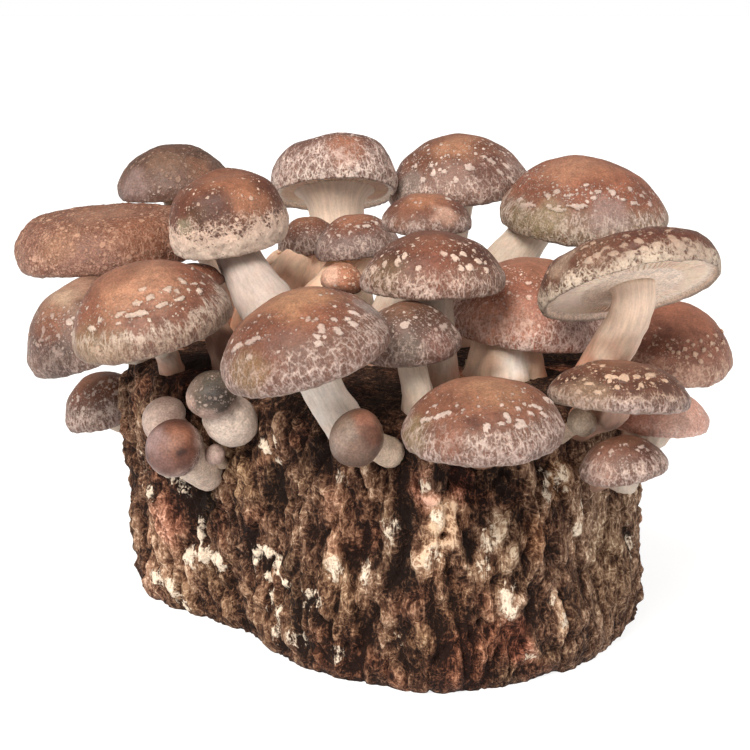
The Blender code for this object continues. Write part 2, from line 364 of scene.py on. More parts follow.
# Cap and button skin: brown where bare, pale where scales and torn threads lie on it.
# Each kind of loose scale is given as the attribute that says how many there are and a factor on
# it, its cells' scale, how ragged and how large it is, and how much it shows.
skinForm = dict(
    grain=(1500, 4, 0.62), blotch=(380, 3, 0.55), netBend=(0.9, 1.5), spotBend=(0.8, 1.1),
    wide=(0.27, 0.0), fine=(0.30, 0.0), finer=2.1, fineShare=0.75,  # threads between the net's cells
    thread=0.62, ragged=0.8, blotchy=0.8, cover=0.8, net=(0.82, 1.46),
    loose=(("flecks", 1.0, 0.66, 0.3, 0.34, 1.0), ("scales", 1.0, 0.34, 0.25, 0.34, 1.0),
           ("flecks", 1.6, 1.45, 0.3, 0.36, 0.65)),
    bump=(0.75, 0.45, 0.6),  # by the pale parts, by the grain and by the loose scales
)


def makeSkin(name, netScale):
    material, tree, shader = newMaterial(name)
    place = placeOf(tree)
    grain = grainOf(tree, place, *skinForm["grain"])
    blotch = grainOf(tree, place, *skinForm["blotch"])
    bent = bentBy(tree, attribute(tree, "weave", "Vector"), *skinForm["netBend"])
    wide, fine = (cellsOf(tree, bent, netScale * often, "DISTANCE_TO_EDGE")["Distance"]
                  for often in (1, skinForm["finer"]))
    fine = times(tree, between(tree, fine, *skinForm["fine"]), skinForm["fineShare"])
    wall = calc(tree, "MAXIMUM", between(tree, wide, *skinForm["wide"]), fine)
    ragged = swing(tree, grain, skinForm["ragged"])
    field = plus(tree, times(tree, wall, skinForm["thread"]), ragged,
                 swing(tree, blotch, skinForm["blotchy"]),
                 times(tree, attribute(tree, "cover"), skinForm["cover"]))
    net = between(tree, field, *skinForm["net"])
    spots = bentBy(tree, scaled(tree, place, 1 / mm), *skinForm["spotBend"])
    kinds = []
    for title, gain, scale, rough, size, shows in skinForm["loose"]:
        share = times(tree, attribute(tree, title), gain)
        fleck = fleckOf(tree, spots, scale, times(tree, ragged, rough), share, size)
        kinds.append(times(tree, fleck, shows))
    raised = carried(tree, "MAXIMUM", *kinds)
    shown = calc(tree, "MAXIMUM", net, raised)
    bare = shaded(tree, attribute(tree, "skin", "Color"), (grain, 0.68, 1.32), (blotch, 0.84, 1.16))
    pale = shaded(tree, attribute(tree, "scale", "Color"), (grain, 0.80, 1.18), (blotch, 0.92, 1.08))
    tree.links.new(mixTint(tree, shown, bare, pale), shader.inputs["Base Color"])
    tree.links.new(between(tree, shown, 0.0, 1.0, 0.50, 0.78), shader.inputs["Roughness"])
    bumped(tree, shader, weighed(tree, *zip((shown, grain, raised), skinForm["bump"])), 0.75, 0.4)
    setShader(shader, Specular_IOR_Level=0.35, Subsurface_Weight=0.05, Subsurface_Scale=0.0015)
    return material


# Stem flesh: long fibres and a soft, matt surface
fleshForm = dict(fibres=(1.3, 4, 0.6), grain=(1500, 3, 0.6), bump=(0.8, 0.4))


def makeFlesh(name):
    material, tree, shader = newMaterial(name)
    place = placeOf(tree)
    fibres = grainOf(tree, attribute(tree, "weave", "Vector"), *fleshForm["fibres"])
    grain = grainOf(tree, place, *fleshForm["grain"])
    colour = shaded(tree, attribute(tree, "skin", "Color"), (fibres, 0.86, 1.1), (grain, 0.92, 1.06))
    tree.links.new(colour, shader.inputs["Base Color"])
    bumped(tree, shader, weighed(tree, *zip((fibres, grain), fleshForm["bump"])), 0.5, 0.3)
    setShader(shader, Roughness=0.72, Specular_IOR_Level=0.3, Subsurface_Weight=0.15, Subsurface_Scale=0.002)
    return material


# Gills: pale, a little pinkish in places
gillLook = dict(cream=(246, 226, 208), pink=(236, 212, 198), grain=(900, 3, 0.6), patch=(120, 2, 0.5))


def makeGillFinish(name):
    material, tree, shader = newMaterial(name)
    place = placeOf(tree)
    grain = grainOf(tree, place, *gillLook["grain"])
    patch = between(tree, grainOf(tree, place, *gillLook["patch"]), 0.35, 0.65)
    colour = mixTint(tree, patch, (*tint(*gillLook["cream"]), 1), (*tint(*gillLook["pink"]), 1))
    tree.links.new(shaded(tree, colour, (grain, 0.9, 1.07)), shader.inputs["Base Color"])
    bumped(tree, shader, grain, 0.4, 0.2)
    setShader(shader, Roughness=0.7, Specular_IOR_Level=0.3, Subsurface_Weight=0.15, Subsurface_Scale=0.002)
    return material


# Bark: dark and streaky, with pale threads of the fungus on it in places
barkLook = dict(
    hollow=(27, 12, 6),  # the colour of the deepest parts, then each colour and the tones where it comes in
    shades=(((69, 44, 31), -0.05, 0.3), ((110, 81, 63), 0.28, 0.6), ((154, 123, 100), 0.58, 0.92),
            ((210, 184, 160), 0.92, 1.3)),
    bend=(0.35, 1.6), broad=(0.32, 4, 0.6), streak=(0.85, 4, 0.65, 0.3), grain=(1100, 5, 0.68),
    lace=(420, 4, 0.6, 0.7), curl=(0.5, 2, 0.5, 1.6), curlSharp=7.0, edge=(235, 2, 0.5, 1.5), edgeSharp=13.0,
    white=(0.62, 1.12), bump=(0.6, 0.8, 0.9, 0.25, 0.4, 0.3),  # grain, streak, lace, curl, white, edge
)


def makeBark(name):
    material, tree, shader = newMaterial(name)
    place = placeOf(tree)
    weave = bentBy(tree, attribute(tree, "weave", "Vector"), *barkLook["bend"])
    broad, streak, curl = (grainOf(tree, weave, *barkLook[kind]) for kind in ("broad", "streak", "curl"))
    grain, lace, edge = (grainOf(tree, place, *barkLook[kind]) for kind in ("grain", "lace", "edge"))
    curl = crestOf(tree, curl, barkLook["curlSharp"])
    edge = crestOf(tree, edge, barkLook["edgeSharp"])
    # the tone: the bark's own tone, with painted shade in its cracks and on the log's top
    tone = plus(tree, attribute(tree, "toneAndShade"), swing(tree, broad, 1.1), swing(tree, streak, 1.1),
                swing(tree, grain, 1.0), swing(tree, lace, 1.1), times(tree, curl, 0.24),
                swing(tree, edge, 0.42, 0.25))
    colour = (*tint(*barkLook["hollow"]), 1)
    for shade, low, high in barkLook["shades"]:
        colour = mixTint(tree, between(tree, tone, low, high), colour, (*tint(*shade), 1))
    twice = scaled(tree, attribute(tree, "skin", "Color"), 2.0)  # it is halved on the piece
    colour = mixTint(tree, 1.0, colour, twice, "MULTIPLY")
    torn = plus(tree, attribute(tree, "cover"), swing(tree, lace, 2.2), swing(tree, grain, 0.9),
                times(tree, curl, 0.35))
    white = between(tree, torn, *barkLook["white"])
    pale = shaded(tree, attribute(tree, "scale", "Color"), (grain, 0.78, 1.12), (streak, 0.82, 1.12))
    tree.links.new(mixTint(tree, white, colour, pale), shader.inputs["Base Color"])
    tree.links.new(between(tree, grain, 0.3, 0.7, 0.95, 0.72), shader.inputs["Roughness"])
    height = weighed(tree, *zip((grain, streak, lace, curl, white, edge), barkLook["bump"]))
    bumped(tree, shader, height, 0.8, 0.9)
    setShader(shader, Specular_IOR_Level=0.2)
    return material


capSkin = makeSkin("cap skin", 0.46)
buttonSkin = makeSkin("button skin", 1.0)
stemFlesh = makeFlesh("stem flesh")
gillFlesh = makeGillFinish("gill flesh")
barkSkin = makeBark("bark")
print("materials made")


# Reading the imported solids, in millimetres
def trianglesOf(node):
    mesh = bpy.data.objects[node].data
    mesh.calc_loop_triangles()
    spots = np.empty(len(mesh.vertices) * 3, np.float32)
    mesh.vertices.foreach_get("co", spots)
    corners = np.empty(len(mesh.loop_triangles) * 3, np.int32)
    mesh.loop_triangles.foreach_get("vertices", corners)
    return spots.reshape(-1, 3).astype(float)[corners].reshape(-1, 3, 3) / mm


def apart(points):  # each place once
    return np.unique(np.round(points.reshape(-1, 3), 4), axis=0)


def turnOf(points):
    return np.arctan2(points[:, 1], points[:, 0])


def columnOf(points, start, count):  # the solid's own columns stand at even turns from start
    return np.round((turnOf(points) - start) / full * count).astype(int) % count


def facingFrame(axis):  # front, side and axis: front is as near the viewer as the axis lets it be
    front = unit(forward - axis * (forward @ axis))
    return np.stack([front, np.cross(axis, front), axis])


def readCap(node):  # the flat underside gives the cap's middle and axis, and its rings the form
    faces = trianglesOf(node)
    cross = np.cross(faces[:, 1] - faces[:, 0], faces[:, 2] - faces[:, 0])
    area = np.linalg.norm(cross, axis=1)
    facing = cross / area[:, None]
    level = (facing * faces[:, 0]).sum(axis=1)
    alike = (facing @ facing.T > 0.9999) & (abs(level[:, None] - level) < 0.03)
    under = alike[np.argmax(alike @ area)]
    frameOf = facingFrame(unit(-cross[under].sum(axis=0)))
    flat = apart(faces[under])
    reach = np.linalg.norm(flat - flat.mean(axis=0), axis=1)
    flat = flat[reach > 0.5 * reach.max()]
    centre = flat.mean(axis=0)
    turns = np.sort(turnOf((flat - centre) @ frameOf.T))
    count = len(turns)
    local = (apart(faces) - centre) @ frameOf.T
    far = np.hypot(local[:, 0], local[:, 1])
    dome = local[far < 0.5, 2].max()
    local, far = local[far > 0.5], far[far > 0.5]
    column = columnOf(local, turns[0], count)
    rings = []
    for k in range(count):
        pairs = [(r, z) for r, z in zip(far[column == k], local[column == k, 2])]
        rim = max(pairs)
        over = sorted((p for p in pairs if p[1] > 0.05), key=lambda p: -p[1])
        lip = sorted((p for p in pairs if p[1] < -0.05), key=lambda p: -p[0])
        last = [p for p in pairs if abs(p[1]) <= 0.05 and p[0] < 0.95 * rim[0]]
        rings.append(over + [rim] + lip + last)
    rings = np.array(rings).transpose(1, 0, 2)
    return dict(centre=centre, frame=frameOf, start=turns[0], rings=rings, dome=dome,
                rim=len(over), radius=rings[len(over), :, 0].mean())


def fromLocal(centre, frameOf, local):
    return centre + local @ frameOf


# Forms that are turned round an axis, given as radius and height at columns all round
def throughTop(rings, crown):  # goes on over the top, so that the curve is level there
    apex = np.zeros((1, rings.shape[1], 2))
    apex[..., 1] = crown
    return np.concatenate([rings[1::-1] * (-1, 1), apex, rings])


def spread(stops):  # rows between stops, given as (from, to, count)
    return np.concatenate([np.linspace(low, high, count, endpoint=False) for low, high, count in stops])


def turnedGrid(form, knots, spots, turns):
    shape = threaded(knots, form, spots)
    return np.stack([shape[..., 0] * np.cos(turns), shape[..., 0] * np.sin(turns), shape[..., 1]], axis=-1)


def knotsOf(form, zero):
    steps = np.linalg.norm(np.diff(form.mean(axis=1), axis=0), axis=1)
    knots = np.concatenate([[0.0], np.cumsum(steps)])
    return knots - knots[zero]


def weaveOf(radius, turn, along):
    return np.stack([radius * np.cos(turn), radius * np.sin(turn), along], axis=1)


# Looks that caps share; each cap's own values take their place. Colours are as on a screen, and
# go past 255 on parts that stand in shade. Bands are shares of the way from a cap's top to its rim.
capLook = dict(
    brown=(142, 92, 72), dark=(96, 56, 43), tan=(176, 126, 98), gap=(124, 92, 80),
    pale=(218, 194, 182), low=(204, 180, 170),
    net=(0.55, 0.95), cover=0.8, netLong=1.7,  # where the torn threads start and are full
    flecks=(0.45, 0.25, 0.75), scales=(0.4, 0.4, 0.85),  # share of spots with one, and their band
    # glow: how much lighter and more tan a cap's top is, partly its own tan top and partly a painted
    # highlight from above
    glow=0.5, patches=(), stains=(), rough=0.5,
    frill=1.0, clear=0.14,  # how uneven the rim is, and how far from the stem the gills start
)
# patches: a scale that lies at a pixel of the photograph: across, down, half its width and
# height in millimetres, and the degrees that it is turned
# stains: a soft area of another colour there: across, down, size, colour, strength


# Gills: blades round the stem, long ones and short ones by turns
def makeGillTree():
    tree = bpy.data.node_groups.new("gills", "GeometryNodeTree")
    tree.interface.new_socket("Geometry", in_out="OUTPUT", socket_type="NodeSocketGeometry")
    sizes = dict(Blades="Int", Inner="Float", Outer="Float", Depth="Float", Thickness="Float", Wave="Float",
                 Seed="Int", Finish="Material")
    for title, kind in sizes.items():
        tree.interface.new_socket(title, in_out="INPUT", socket_type="NodeSocket" + kind)
    given = add(tree, "NodeGroupInput").outputs
    cube = {"Size": (1, 1, 1), "Vertices X": 7, "Vertices Y": 2, "Vertices Z": 3}
    blade = add(tree, "GeometryNodeMeshCube", cube).outputs["Mesh"]
    place = add(tree, "ShaderNodeSeparateXYZ", {0: add(tree, "GeometryNodeInputPosition").outputs[0]}).outputs
    along = plus(tree, place[0], 0.5)
    hang = minus(tree, 0.5, place[2])
    middle = calc(tree, "ABSOLUTE", minus(tree, times(tree, along, 2.0), 1.0))
    belly = minus(tree, 1.0, calc(tree, "POWER", middle, 2.0))
    low = times(tree, hang, given["Depth"], belly)
    thin = times(tree, given["Thickness"], minus(tree, 1.0, times(tree, hang, 0.6)),
                 plus(tree, 0.3, times(tree, along, 0.7)))
    bent = times(tree, given["Wave"], calc(tree, "SINE", times(tree, along, 8.0)))
    side = plus(tree, times(tree, place[1], thin), bent)
    joined = add(tree, "GeometryNodeJoinGeometry")
    for share, shift, size in ((0.0, 0.0, 1.0), (0.45, 0.5, 0.7)):  # a blade's start, turn, depth
        start = plus(tree, given["Inner"], times(tree, minus(tree, given["Outer"], given["Inner"]), share))
        reach = plus(tree, start, times(tree, minus(tree, given["Outer"], start), along))
        down = minus(tree, 0.15, times(tree, low, size))
        spot = add(tree, "ShaderNodeCombineXYZ", {0: reach, 1: side, 2: down}).outputs[0]
        shaped = add(tree, "GeometryNodeSetPosition", {"Geometry": blade, "Position": spot}).outputs[0]
        points = add(tree, "GeometryNodePoints", {"Count": given["Blades"]}).outputs[0]
        index = add(tree, "GeometryNodeInputIndex").outputs[0]
        limits = {2: -0.28, 3: 0.28, "Seed": given["Seed"]}
        loose = add(tree, "FunctionNodeRandomValue", limits, data_type="FLOAT")
        turn = calc(tree, "DIVIDE", plus(tree, index, shift, loose.outputs[1]), given["Blades"])
        around = add(tree, "ShaderNodeCombineXYZ", {2: times(tree, turn, full)}).outputs[0]
        inputs = {"Points": points, "Instance": shaped, "Rotation": around}
        tree.links.new(add(tree, "GeometryNodeInstanceOnPoints", inputs).outputs[0], joined.inputs[0])
    solid = add(tree, "GeometryNodeRealizeInstances", {"Geometry": joined.outputs[0]}).outputs[0]
    done = add(tree, "GeometryNodeSetMaterial", {"Geometry": solid, "Material": given["Finish"]}).outputs[0]
    tree.links.new(done, add(tree, "NodeGroupOutput").inputs[0])
    return tree


def grown(tree, values):  # what a tree makes with these inputs, as points and faces of four
    holder = bpy.data.objects.new("holder", bpy.data.meshes.new("holder"))
    bpy.context.scene.collection.objects.link(holder)
    modifier = holder.modifiers.new("grown", "NODES")
    modifier.node_group = tree
    for item in tree.interface.items_tree:
        if item.in_out == "INPUT" and item.name in values:
            modifier[item.identifier] = values[item.name]
    graph = bpy.context.evaluated_depsgraph_get()
    mesh = bpy.data.meshes.new_from_object(holder.evaluated_get(graph))
    bpy.data.objects.remove(holder)
    points = np.empty(len(mesh.vertices) * 3, np.float32)
    mesh.vertices.foreach_get("co", points)
    faces = np.empty(len(mesh.loops), np.int32)
    mesh.loops.foreach_get("vertex_index", faces)
    bpy.data.meshes.remove(mesh)
    return points.reshape(-1, 3).astype(float), faces.reshape(-1, 4)


gillTree = makeGillTree()


# Places that a pixel of the photograph shows, and what lies there
def nearestTo(across, down, points, facing):  # the visible point at a pixel
    u, v = onPicture(points)
    away = np.hypot(u - across, v - down)
    hidden = (facing * (stand / mm - points)).sum(axis=1) < 0
    return np.argmin(away + 1000 * hidden)


def scaleMask(points, facing, centre, wide, tall, askew, seed):  # 1 on a torn scale that lies round a point
    middle, out = points[centre], facing[centre]
    level = unit(np.cross(up, out))
    rise = np.cross(out, level)
    lean = math.radians(askew)
    side = level * math.cos(lean) + rise * math.sin(lean)
    slope = np.cross(out, side)
    off = points - middle
    near = np.linalg.norm(off, axis=1) < 2.2 * max(wide, tall)
    mask = np.zeros(len(points))
    off = off[near]
    far = np.sqrt((off @ side / wide) ** 2 + (off @ slope / tall) ** 2)
    mask[near] = ramp(1.25, 0.72, far + 0.5 * noise(points[near] * 0.8, seed))
    return mask


def blotMask(points, middle, size, seed, squash=(1, 1, 1)):  # 1 at a point, 0 about its size away
    away = np.linalg.norm((points - middle) * squash, axis=1) / size + 0.35 * noise(points / size * 1.5, seed)
    return ramp(1.15, 0.35, away)


stainSeed = 90


def stained(colour, points, facing, stains, strength=1.0):
    for k, (across, down, size, shade, share) in enumerate(stains):
        middle = points[nearestTo(across, down, points, facing)]
        colour = mixed(colour, lit(*shade), strength * share * blotMask(points, middle, size, stainSeed + k))
    return colour


# A skin's waves are a length in millimetres and a strength, and its steps where they start and end
skinWaves = dict(fray=((9, 0.08), (3, 0.06)), cover=(5, 0.12), lumps=(8, 0.45), pores=(2.2, 0.14),
                 rim=((3.2, 0.30), (1.5, 0.22)), clouds=(7, 0.7), glow=(9, 0.2), pale=(5, 0.14))
skinSteps = dict(rim=(0.80, 0.98), glow=(0.62, 0.05), low=(0.80, 1.02), clouds=(-0.25, 0.75))
skinRise = dict(net=0.22, ragged=0.12, scale=0.55)  # how far threads and scales stand out
skinShare = dict(line=0.5, gap=0.8, stain=0.45)  # of the dark line, of the gaps, and of a stain on pale parts


def paintSkin(points, facing, weave, share, look, seed):  # colours, cover and relief of a cap's skin
    fray, rim = (sum(wave(weave, *form, seed + first + k) for k, form in enumerate(skinWaves[kind]))
                 for kind, first in (("fray", 7), ("rim", 5)))
    shown = share + fray
    cover = look["cover"] * ramp(*look["net"], shown) + wave(weave, *skinWaves["cover"], seed + 9)
    relief = skinRise["ragged"] * cover * noise(weave * (0.5, 0.5, 0.4), seed + 3)
    relief = relief + skinRise["net"] * ramp(0.2, 0.8, cover)
    laid = np.zeros(len(points))
    for k, (across, down, *form) in enumerate(look["patches"]):
        centre = nearestTo(across, down, points, facing)
        laid = np.maximum(laid, scaleMask(points, facing, centre, *form, seed + k))
    cover = np.maximum(cover, 2.4 * laid - 0.6)
    relief = np.maximum(relief, skinRise["scale"] * laid)
    length, strength = skinWaves["pores"]
    relief += wave(points, *skinWaves["lumps"], seed)
    relief += strength * look["rough"] * layers(points / length, 2, seed + 1)
    relief += rim * look["frill"] * ramp(*skinSteps["rim"], share)
    start = look["net"][0]
    length, strength = skinWaves["clouds"]
    clouds = strength * ramp(*skinSteps["clouds"], layers(points / length, 3, seed + 2))
    line = skinShare["line"] * band(shown, start - 0.12, start + 0.12, 0.14)
    # the top lighter and tan: partly the cap's own colour, partly a painted highlight
    glow = look["glow"] * ramp(*skinSteps["glow"], share + wave(points, *skinWaves["glow"], seed + 4))
    gap = skinShare["gap"] * ramp(start, start + 0.3, shown)
    skin = lit(*look["brown"])
    for shade, amount in (("dark", clouds), ("dark", line), ("tan", glow), ("gap", gap)):
        skin = mixed(skin, lit(*look[shade]), amount)
    length, strength = skinWaves["pale"]
    pale = mixed(lit(*look["pale"]), lit(*look["low"]), ramp(*skinSteps["low"], share))
    pale = pale * (1 + strength * layers(points / length, 2, seed + 6))[:, None]
    skin = stained(skin, points, facing, look["stains"])
    pale = stained(pale, points, facing, look["stains"], skinShare["stain"])
    flecks, scales = (look[kind][0] * band(shown, *look[kind][1:]) for kind in ("flecks", "scales"))
    return dict(skin=skin, scale=pale, cover=cover, flecks=flecks, scales=scales), relief


def plainFrom(paints, shade, amount):  # where the skin ends, its marks end too
    paints["skin"] = mixed(paints["skin"], shade, amount)
    for title in ("cover", "flecks", "scales"):
        paints[title] = paints[title] * (1 - amount)


flesh = tint(240, 221, 204)
# Columns, and rows on top, side and lip, for caps of a radius from largeFrom on and for smaller ones
capGrid = dict(large=(216, 14, 40, 12), small=(144, 10, 28, 9), largeFrom=16)
capStops = (0.03, 0.48, 1.0)  # where the rows on top, side and lip start, as shares of the way to the rim
capUnder = (0.86, 0.62, 0.36, 0.12)  # shares of the gills' reach where the flat underside has rows
gills = dict(spacing=0.8, depth=0.03, thickness=0.5, wave=0.12, outer=0.99)


def makeGills(cap, look, turns, reach, index):
    inner = look["stem"][1] + look["clear"] * cap["radius"]
    blades = max(16, int(full * reach.mean() * 0.8 / gills["spacing"] / 2))
    sizes = {"Blades": blades, "Inner": inner, "Outer": reach.mean() * gills["outer"],
             "Depth": gills["depth"] * cap["radius"], "Thickness": gills["thickness"], "Wave": gills["wave"],
             "Seed": index, "Finish": gillFlesh}
    points, faces = grown(gillTree, sizes)
    allRound = (np.append(turns, full), np.append(reach, reach[0]))
    wider = np.interp(turnOf(points) % full, *allRound) / reach.mean()
    stretch = 1 + (wider - 1) * ramp(inner, reach.mean(), np.hypot(points[:, 0], points[:, 1]))
    points[:, :2] *= stretch[:, None]
    return fromLocal(cap["centre"], cap["frame"], points), faces


def dressCap(name, plan, index):
    look = {**capLook, **plan}
    cap = readCap("cap_" + name)
    columns, *counts = capGrid["large" if cap["radius"] > capGrid["largeFrom"] else "small"]
    turns = np.arange(columns) / columns * full
    rings = np.stack([aroundRing(cap["rings"][:, :, k], cap["start"], turns) for k in (0, 1)], axis=-1)
    form = throughTop(rings, cap["dome"])
    knots = knotsOf(form, 2)
    rimAt = knots[3 + cap["rim"]]
    last = knots[-1] / rimAt
    shares = spread(list(zip(capStops, (*capStops[1:], last), counts)))
    rows = len(shares)
    grid = turnedGrid(form, knots, shares * rimAt, turns)
    under = [grid[-1] * (inward, inward, 0) for inward in capUnder]
    local = grid.reshape(-1, 3)
    normals = gridNormals(grid).reshape(-1, 3)
    share = np.repeat(shares, columns)
    weave = weaveOf(cap["radius"], np.tile(turns, rows), share * rimAt / look["netLong"]) + 40 * index
    world = fromLocal(cap["centre"], cap["frame"], local)
    paints, relief = paintSkin(world, normals @ cap["frame"], weave, share, look, 20 + 13 * index)
    inside = ramp(1.04, last - 0.02, share)
    plainFrom(paints, flesh, inside)
    paints["weave"] = weave
    paintUnder(paints, rows, columns, len(under))
    grid = (local + normals * (relief * (1 - inside))[:, None]).reshape(rows, columns, 3)
    grid = fromLocal(cap["centre"], cap["frame"], np.concatenate([grid, under]))
    blades = makeGills(cap, look, turns, rings[-1, :, 0], index)
    piece = gridMesh(name + "_cap", grid, paints, (capSkin, gillFlesh), blades)
    standFor(piece, "cap_" + name)
    return cap


# Stems: each repeats the part's own foot and radii, and ends at its cap
stemGrid = dict(rows=44, columns=32, buried=(5, 4))  # and how deep it goes on in the log, in how many rows
stemForm = dict(topFrom=76,  # feet above this height stand on the log's top
                taper=1.7, lowHandle=0.36, highHandle=0.26, intoCap=0.3,
                foot=1.6, footLength=3.5,  # how far the foot spreads, and over what length
                footAt=4)  # how far up from its lowest ring a stem comes out of the log
stemWaves = dict(groove=0.28, bend=(7, 0.5), fold=(12, 0.5), root=(3.5, 2.5), rootLumps=(2.0, 0.5),
                 tint=(6, 0.25))
stemLook = dict(stemTop=(226, 206, 188), stemFoot=(204, 156, 132), stemRoot=(132, 92, 70), footFrom=0.55,
                flare=(0.9, 1.6), swell=0, folds=0, foldTurn=0, meets=0, stemStains=())
# meets: how far the stem's top is moved along the cap; flare: its spread at the cap, and over what length
# swell and folds: how much thicker it is halfway, and how deep the folds along it are


def stemLine(look, cap):
    foot, axis = np.array(look["foot"], float), cap["frame"][2]
    top = cap["centre"] + stemForm["intoCap"] * axis + look["meets"] * unit(np.cross((0, 1, 0), axis))
    outward = unit(foot * (1, 1, 0))
    root = unit(outward * 0.3 + up if foot[2] > stemForm["topFrom"] else outward + up * 0.3)
    length = np.linalg.norm(top - foot)
    handles = (foot, foot + root * length * stemForm["lowHandle"],
               top - axis * length * stemForm["highHandle"], top)
    t = np.linspace(0, 1, stemGrid["rows"])[:, None]
    weights = ((1 - t) ** 3, 3 * t * (1 - t) ** 2, 3 * t * t * (1 - t), t ** 3)
    line = sum(weight * handle for weight, handle in zip(weights, handles))
    deep, count = stemGrid["buried"]
    below = foot - root * np.linspace(deep, 1, count)[:, None]
    return np.concatenate([below, line]), np.concatenate([np.zeros(count), t[:, 0]])


def tubeGrid(line, radii, turns):  # rings round a line, top first
    ahead = unit(np.gradient(line, axis=0))
    side = unit(np.cross(ahead[0], (0.3, 1.0, 0.2)))
    rings = []
    for spot, way, radius in zip(line, ahead, radii):
        side = unit(side - way * (side @ way))
        other = np.cross(way, side)
        rings.append(spot + radius * (np.cos(turns)[:, None] * side + np.sin(turns)[:, None] * other))
    return np.array(rings)[::-1]


def dressStem(name, plan, cap, index):
    look = {**stemLook, **plan}
    seed = 300 + 7 * index
    line, t = stemLine(look, cap)
    thick, thin = look["stem"]
    lengths = np.append(0, np.cumsum(np.linalg.norm(np.diff(line, axis=0), axis=1)))
    aboveFoot = lengths - stemForm["footAt"]
    fromTop = lengths[-1] - lengths
    flare, flareLength = look["flare"]
    radii = thin + (thick - thin) * (1 - t) ** stemForm["taper"]
    radii = radii + stemForm["foot"] * np.exp(-np.maximum(aboveFoot, 0) / stemForm["footLength"])
    radii = radii + flare * np.exp(-fromTop / flareLength)
    radii = radii + look["swell"] * np.sin(math.pi * np.clip(t, 0.001, 0.999)) ** 0.35
    columns = stemGrid["columns"]
    turns = np.arange(columns) / columns * full
    grid = tubeGrid(line, radii, turns)
    points = grid.reshape(-1, 3)
    facing = gridNormals(grid).reshape(-1, 3)
    turn = np.tile(turns, len(line))
    down = np.repeat(fromTop[::-1], columns)
    weave = weaveOf(thin, turn, down * 0.16) + 17 * index
    groove = layers(weave * 0.75, 3, seed)
    rim = ramp(0, 2.5, down)
    bend, tinted, above, lumps, turned = (wave(points, *stemWaves[kind], seed + k + 1) for k, kind in
                                          enumerate(("bend", "tint", "root", "rootLumps", "fold")))
    root = ramp(7.0, 0.5, np.repeat(aboveFoot[::-1], columns) + above)
    fold = look["folds"] * (1 - abs(np.sin(2 * turn + look["foldTurn"] + turned))) ** 2.5
    relief = (stemWaves["groove"] * groove + bend - fold) * rim + root * lumps
    share = 1 - down / fromTop.max() + tinted
    low = ramp(look["footFrom"] + 0.15, look["footFrom"] - 0.45, share)
    skin = mixed(lit(*look["stemTop"]), lit(*look["stemFoot"]), low) * (1 + 0.10 * groove)[:, None]
    # the folds darker by a little: painted shade in the creases
    skin = mixed(skin, lit(*look["stemRoot"]), 0.7 * root) * (1 - 0.06 * fold)[:, None]
    skin = stained(skin, points, facing, look["stemStains"])
    grid = (points + facing * relief[:, None]).reshape(grid.shape)
    piece = gridMesh(name + "_stem", grid, dict(skin=skin, weave=weave), (stemFlesh,))
    standFor(piece, "stem_" + name)


# Buttons: caps that have not opened, each with a short stem that goes into the bark. A form is
# radius and height, as shares of the button's radius, and above its rim of its own height.
openForm = ((1e-3, 1.0), (0.42, 0.91), (0.75, 0.64), (0.95, 0.30), (1.0, 0.0))
buttonForm = (*openForm, (0.88, -0.32), (0.64, -0.47), (0.56, -0.8))
swollenForm = (*openForm, (0.90, -0.34), (0.74, -0.62), (0.90, -1.05), (1.0, -1.6), (0.88, -2.15),
               (0.5, -2.6), (0.12, -2.74))
stoutForm = (*openForm, (0.90, -0.32), (0.74, -0.47), (0.70, -0.9), (0.72, -1.6), (0.66, -2.67))
buttonGrid = dict(columns=72, start=0.04, dome=28, neck=18, foot=8)
buttonWaves = ((2, 1, 0.025), (3, 2, 0.018))  # how often round it, their shift and their depth
buttonLook = dict(net=(0.95, 1.4), cover=0.3, flecks=(0, 0, 1), scales=(0, 0, 1), stemTint=(214, 186, 164))


def leaningAxis(lean):
    toRight, toFront = (math.sin(math.radians(angle)) for angle in lean)
    return np.array((toRight, -toFront, math.sqrt(1 - toRight ** 2 - toFront ** 2)))


def dressButton(name, plan, index):
    look = {**capLook, **buttonLook, **plan}
    radius, dome = look["size"]
    columns = buttonGrid["columns"]
    turns = np.arange(columns) / columns * full
    form = plan.get("form", (*buttonForm, (buttonForm[-1][0], -plan["stem"] / radius)))
    outline = [(r * radius, z * (dome if z > 0 else radius)) for r, z in form]
    form = np.array(outline)[:, None, :] * np.ones((1, columns, 1))
    wobble = sum(deep * np.sin(often * turns + shift * index) for often, shift, deep in buttonWaves)
    form[:, :, 0] *= 1 + wobble
    knots = knotsOf(form, 0)
    rimAt = knots[len(openForm) - 1]
    neck, end = knots[-2] / rimAt, knots[-1] / rimAt
    shares = spread([(buttonGrid["start"], 1.0, buttonGrid["dome"]),
                     (1.0, neck, int(buttonGrid["neck"] * neck)), (neck, end, buttonGrid["foot"])])
    grid = turnedGrid(form, knots, shares * rimAt, turns)
    frameOf = facingFrame(leaningAxis(look["lean"]))
    share = np.repeat(shares, columns)
    weave = weaveOf(radius, np.tile(turns, len(shares)), share * rimAt / look["netLong"])
    world = fromLocal(np.array(look["cap"], float), frameOf, grid.reshape(-1, 3))
    facing = gridNormals(grid).reshape(-1, 3) @ frameOf
    paints, relief = paintSkin(world, facing, weave, share, look, 600 + 11 * index)
    plainFrom(paints, lit(*look["stemTint"]), ramp(1.25, 1.75, share))
    paints["weave"] = weave
    grid = (world + facing * (relief * 0.6)[:, None]).reshape(grid.shape)
    piece = gridMesh(name + "_button", grid, paints, (buttonSkin,))
    standFor(piece, "button_" + name)


# The log: bark all round, and a rough top that the mushrooms stand on
barkGrid = dict(columns=704, counts=(14, 14, 92, 7),  # rows on the top, the shoulder, the side and the foot
                crowd=0.32,  # how much closer together the columns are in front
                under=(0.9, 0.6, 0.3), middle=45)  # rows of the flat base, and a height inside the log
